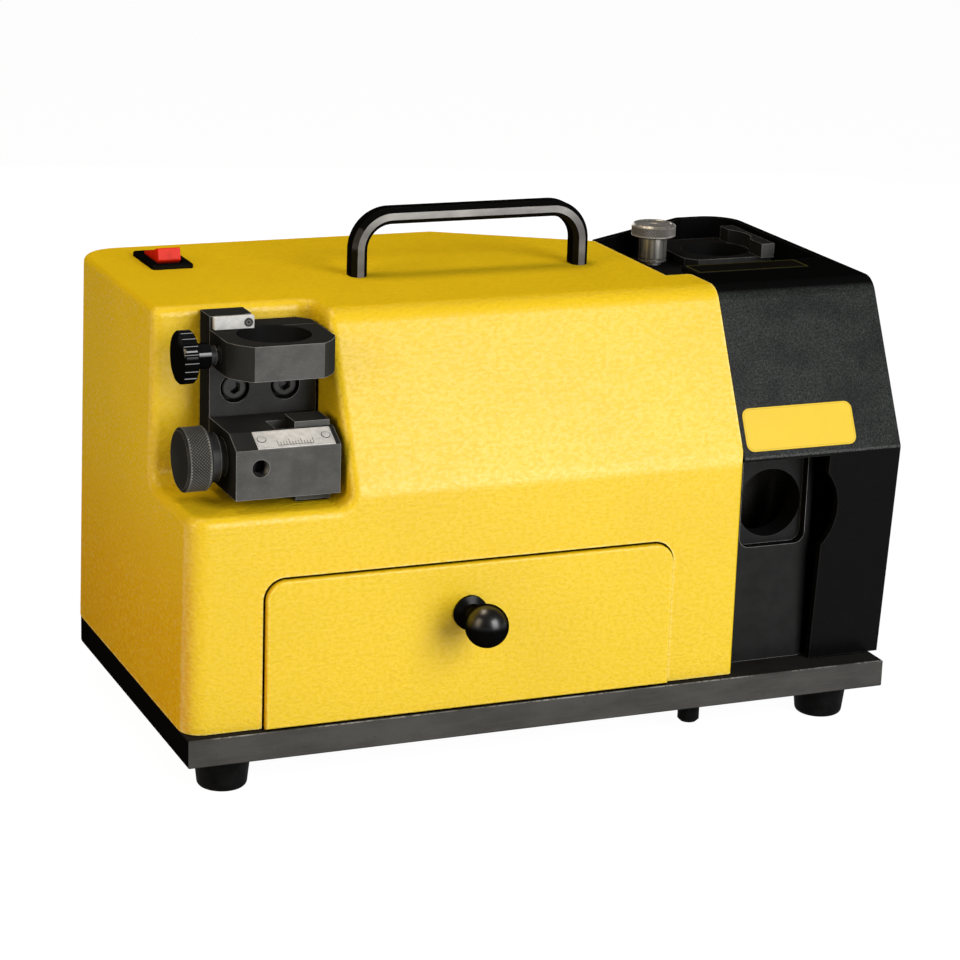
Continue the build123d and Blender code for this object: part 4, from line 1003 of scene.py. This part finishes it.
class GRINDER_OT_drive(PieceOperator, Operator):
    """Finishes the motor, the shaft and the wheel"""
    bl_idname = "grinder.drive"
    bl_label = "Drive"

    def execute(self, context):
        enamel = cast_metal("Motor paint", (0.03, 0.035, 0.04, 1.0), (0.06, 0.065, 0.07, 1.0), 0.45, 0.1)
        dress(enamel, "motor_can")
        aluminium = cast_metal("Cast aluminium", (0.36, 0.36, 0.37, 1.0), (0.52, 0.52, 0.53, 1.0))
        dress(aluminium, "motor_end_bell", "motor_flange")
        steel = cast_metal("Wheel steel", (0.012, 0.012, 0.013, 1.0), (0.03, 0.03, 0.032, 1.0), 0.5, 0.2)
        dress(steel, "grinding_wheel")
        dress(stacked_laminations(), "stator", "rotor")
        shaft_steel = bare_steel("Shaft steel", drawn=(1, 20, 20))
        dress(shaft_steel, "motor_shaft", "left_bearing", "right_bearing",
              "wheel_hub", "wheel_flange", "wheel_nut")
        dress(bonded_abrasive(), "abrasive_rim")
        return {"FINISHED"}


class GRINDER_OT_labels(PieceOperator, Operator):
    """Adds the bare yellow plate on the cover's slope and the bare dark plate on its top"""
    bl_idname = "grinder.labels"
    bl_label = "Bare plates"

    thickness = 0.25 * MM
    line_from = 0.5 * MM

    def execute(self, context):
        self.slope_plate()
        self.top_plate()
        return {"FINISHED"}

    def slope_plate(self):
        """Yellow plate with a slightly darker line round it."""
        sizes = trim()
        low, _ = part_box("end_cover")
        across, up = 115.7 * MM, 134.1 * MM
        place = seat("end_cover", (across, low.y - RAY_REACH, up), BACK)
        bm = bmesh.new()
        bordered_plate(bm, place, sizes.label_length, sizes.label_height, sizes.label_radius,
                       self.thickness, self.line_from, 0.35 * MM)
        yellow = label_film("Yellow film", colours().label_yellow, 0.35)
        rim = label_film("Yellow film rim", tone(colours().label_yellow, 0.8), 0.35)
        add_piece("slope_plate", bm, "frame", "yellow_paint", yellow, rim)

    def top_plate(self):
        """Dark plate with an olive line round it."""
        _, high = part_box("end_cover")
        across, back, length, width, radius = 118.5 * MM, -18.5 * MM, 55.0 * MM, 15.0 * MM, 1.2 * MM
        place = seat("end_cover", (across, back, high.z + RAY_REACH), DOWN)
        bm = bmesh.new()
        bordered_plate(bm, place, length, width, radius, self.thickness, self.line_from, 0.6 * MM)
        dark = label_film("Dark film", (0.006, 0.006, 0.005), 0.3)
        olive = label_film("Olive line", colours().border_olive, 0.4)
        add_piece("top_plate", bm, "frame", "gloss_black", dark, olive)


class GRINDER_OT_stage(PieceOperator, Operator):
    """Sets up the floor, the lamps and the camera"""
    bl_idname = "grinder.stage"
    bl_label = "Studio"

    middle = Vector((0.0, 0.0, 0.1))
    floor_points = 96
    floor_profile = ((16.0, 0.0), (18.0, 0.2), (19.5, 0.8), (20.5, 1.9))

    def execute(self, context):
        studio = context.scene.grinder_studio
        context.scene.view_settings.view_transform = "Standard"
        self.room(context, studio.room_level)
        self.floor()
        self.lamp(context, "Key", (0.47, -1.20, 0.51), (0.70, 1.05), studio.key_level)
        self.lamp(context, "Side", (-0.60, -0.24, 0.34), (0.30, 0.45), studio.side_level, studio.side_tint)
        self.lamp(context, "Overhead", (-0.20, 0.14, 1.05), (0.45, 0.30), studio.top_level, studio.top_tint)
        self.lamp(context, "Back", (0.30, 1.15, 0.38), (0.80, 0.60), studio.back_level)
        self.camera(context, studio)
        return {"FINISHED"}

    def room(self, context, level):
        """Even white light from all round."""
        world = bpy.data.worlds.new("Studio room")
        context.scene.world = world
        world.use_nodes = True
        back = world.node_tree.nodes["Background"]
        back.inputs["Color"].default_value = neutral(1.0)
        back.inputs["Strength"].default_value = level

    def floor(self):
        """Pale floor, turned up far away, white to camera and reflections, that keeps the shadow."""
        finish = Finish("Studio floor")
        path = {key: finish.node("ShaderNodeLightPath", output=key)
                for key in ("Is Camera Ray", "Is Glossy Ray", "Is Transmission Ray")}
        seen = path["Is Camera Ray"].highest(path["Is Glossy Ray"]).highest(path["Is Transmission Ray"])
        plain = finish.node("ShaderNodeBsdfDiffuse", {}, {"Color": neutral(0.55)})
        shade = finish.node("ShaderNodeBsdfDiffuse", {}, {"Color": neutral(0.1)})
        white = finish.node("ShaderNodeEmission", {}, {"Color": neutral(1.0), "Strength": 0.97})
        bright = finish.node("ShaderNodeAddShader", {}, {0: white, 1: shade})
        finish.node_to_output(finish.node("ShaderNodeMixShader", {}, {0: seen, 1: plain, 2: bright}))
        bm = bmesh.new()
        turns = [2 * math.pi * step / self.floor_points for step in range(self.floor_points)]
        rings = [ring(bm, [(reach * math.cos(turn), reach * math.sin(turn), height) for turn in turns])
                 for reach, height in self.floor_profile]
        bm.faces.new(rings[0])
        for low, high in zip(rings, rings[1:]):
            bridge(bm, low, high)
        floor = mesh_object("studio_floor", bm, finish.material)

    def lamp(self, context, name, place, size, level, tint=(1.0, 1.0, 1.0)):
        """Soft lamp that lights a white face turned to it at the middle to that level."""
        data = bpy.data.lights.new(name, "AREA")
        data.shape = "RECTANGLE"
        data.size, data.size_y = size
        away = Vector(place) - self.middle
        data.energy = level * math.pi ** 2 * away.length_squared
        data.color = tint
        lamp = bpy.data.objects.new(name, data)
        lamp.location = place
        lamp.rotation_euler = away.to_track_quat("Z", "Y").to_euler()
        lamp.visible_camera = False
        context.scene.collection.objects.link(lamp)

    def camera(self, context, studio):
        """Camera at the user's place, level with the direction to the right."""
        data = bpy.data.cameras.new("Camera")
        data.lens = studio.lens
        data.sensor_width = 36.0
        camera = bpy.data.objects.new("Camera", data)
        back = -Vector(studio.camera_aim).normalized()
        right = Vector(studio.camera_right)
        right = (right - back * right.dot(back)).normalized()
        turn = Matrix((right, back.cross(right), back)).transposed().to_4x4()
        camera.matrix_world = Matrix.Translation(studio.camera_place) @ turn
        context.scene.collection.objects.link(camera)
        context.scene.camera = camera


class GRINDER_PT_panel(Panel):
    """Lists the steps"""
    bl_idname = "GRINDER_PT_panel"
    bl_label = "Endmill grinder"
    bl_space_type = "VIEW_3D"
    bl_region_type = "UI"
    bl_category = "Grinder"

    def draw(self, context):
        for step in STEPS:
            self.layout.operator(step.bl_idname)
        for group_name, group in GROUPS.items():
            box = self.layout.box()
            for name in group.__annotations__:
                box.prop(getattr(context.scene, group_name), name)


STEPS = (GRINDER_OT_casting, GRINDER_OT_cover, GRINDER_OT_base, GRINDER_OT_handle,
         GRINDER_OT_switch, GRINDER_OT_drawer, GRINDER_OT_fixture, GRINDER_OT_fixture_trim,
         GRINDER_OT_knobs, GRINDER_OT_top_port, GRINDER_OT_drive, GRINDER_OT_labels, GRINDER_OT_stage)
GROUPS = {"grinder_colours": FinishColours, "grinder_trim": TrimSizes, "grinder_studio": StudioSettings}


def register():
    for item in (*GROUPS.values(), *STEPS, GRINDER_PT_panel):
        bpy.utils.register_class(item)
    for name, group in GROUPS.items():
        setattr(Scene, name, PointerProperty(type=group))


def unregister():
    for name in GROUPS:
        delattr(Scene, name)
    for item in (GRINDER_PT_panel, *reversed(STEPS), *reversed(GROUPS.values())):
        bpy.utils.unregister_class(item)


def main():
    register()
    for step in STEPS:
        family, name = step.bl_idname.split(".")
        getattr(getattr(bpy.ops, family), name)()


if __name__ == "__main__":
    main()
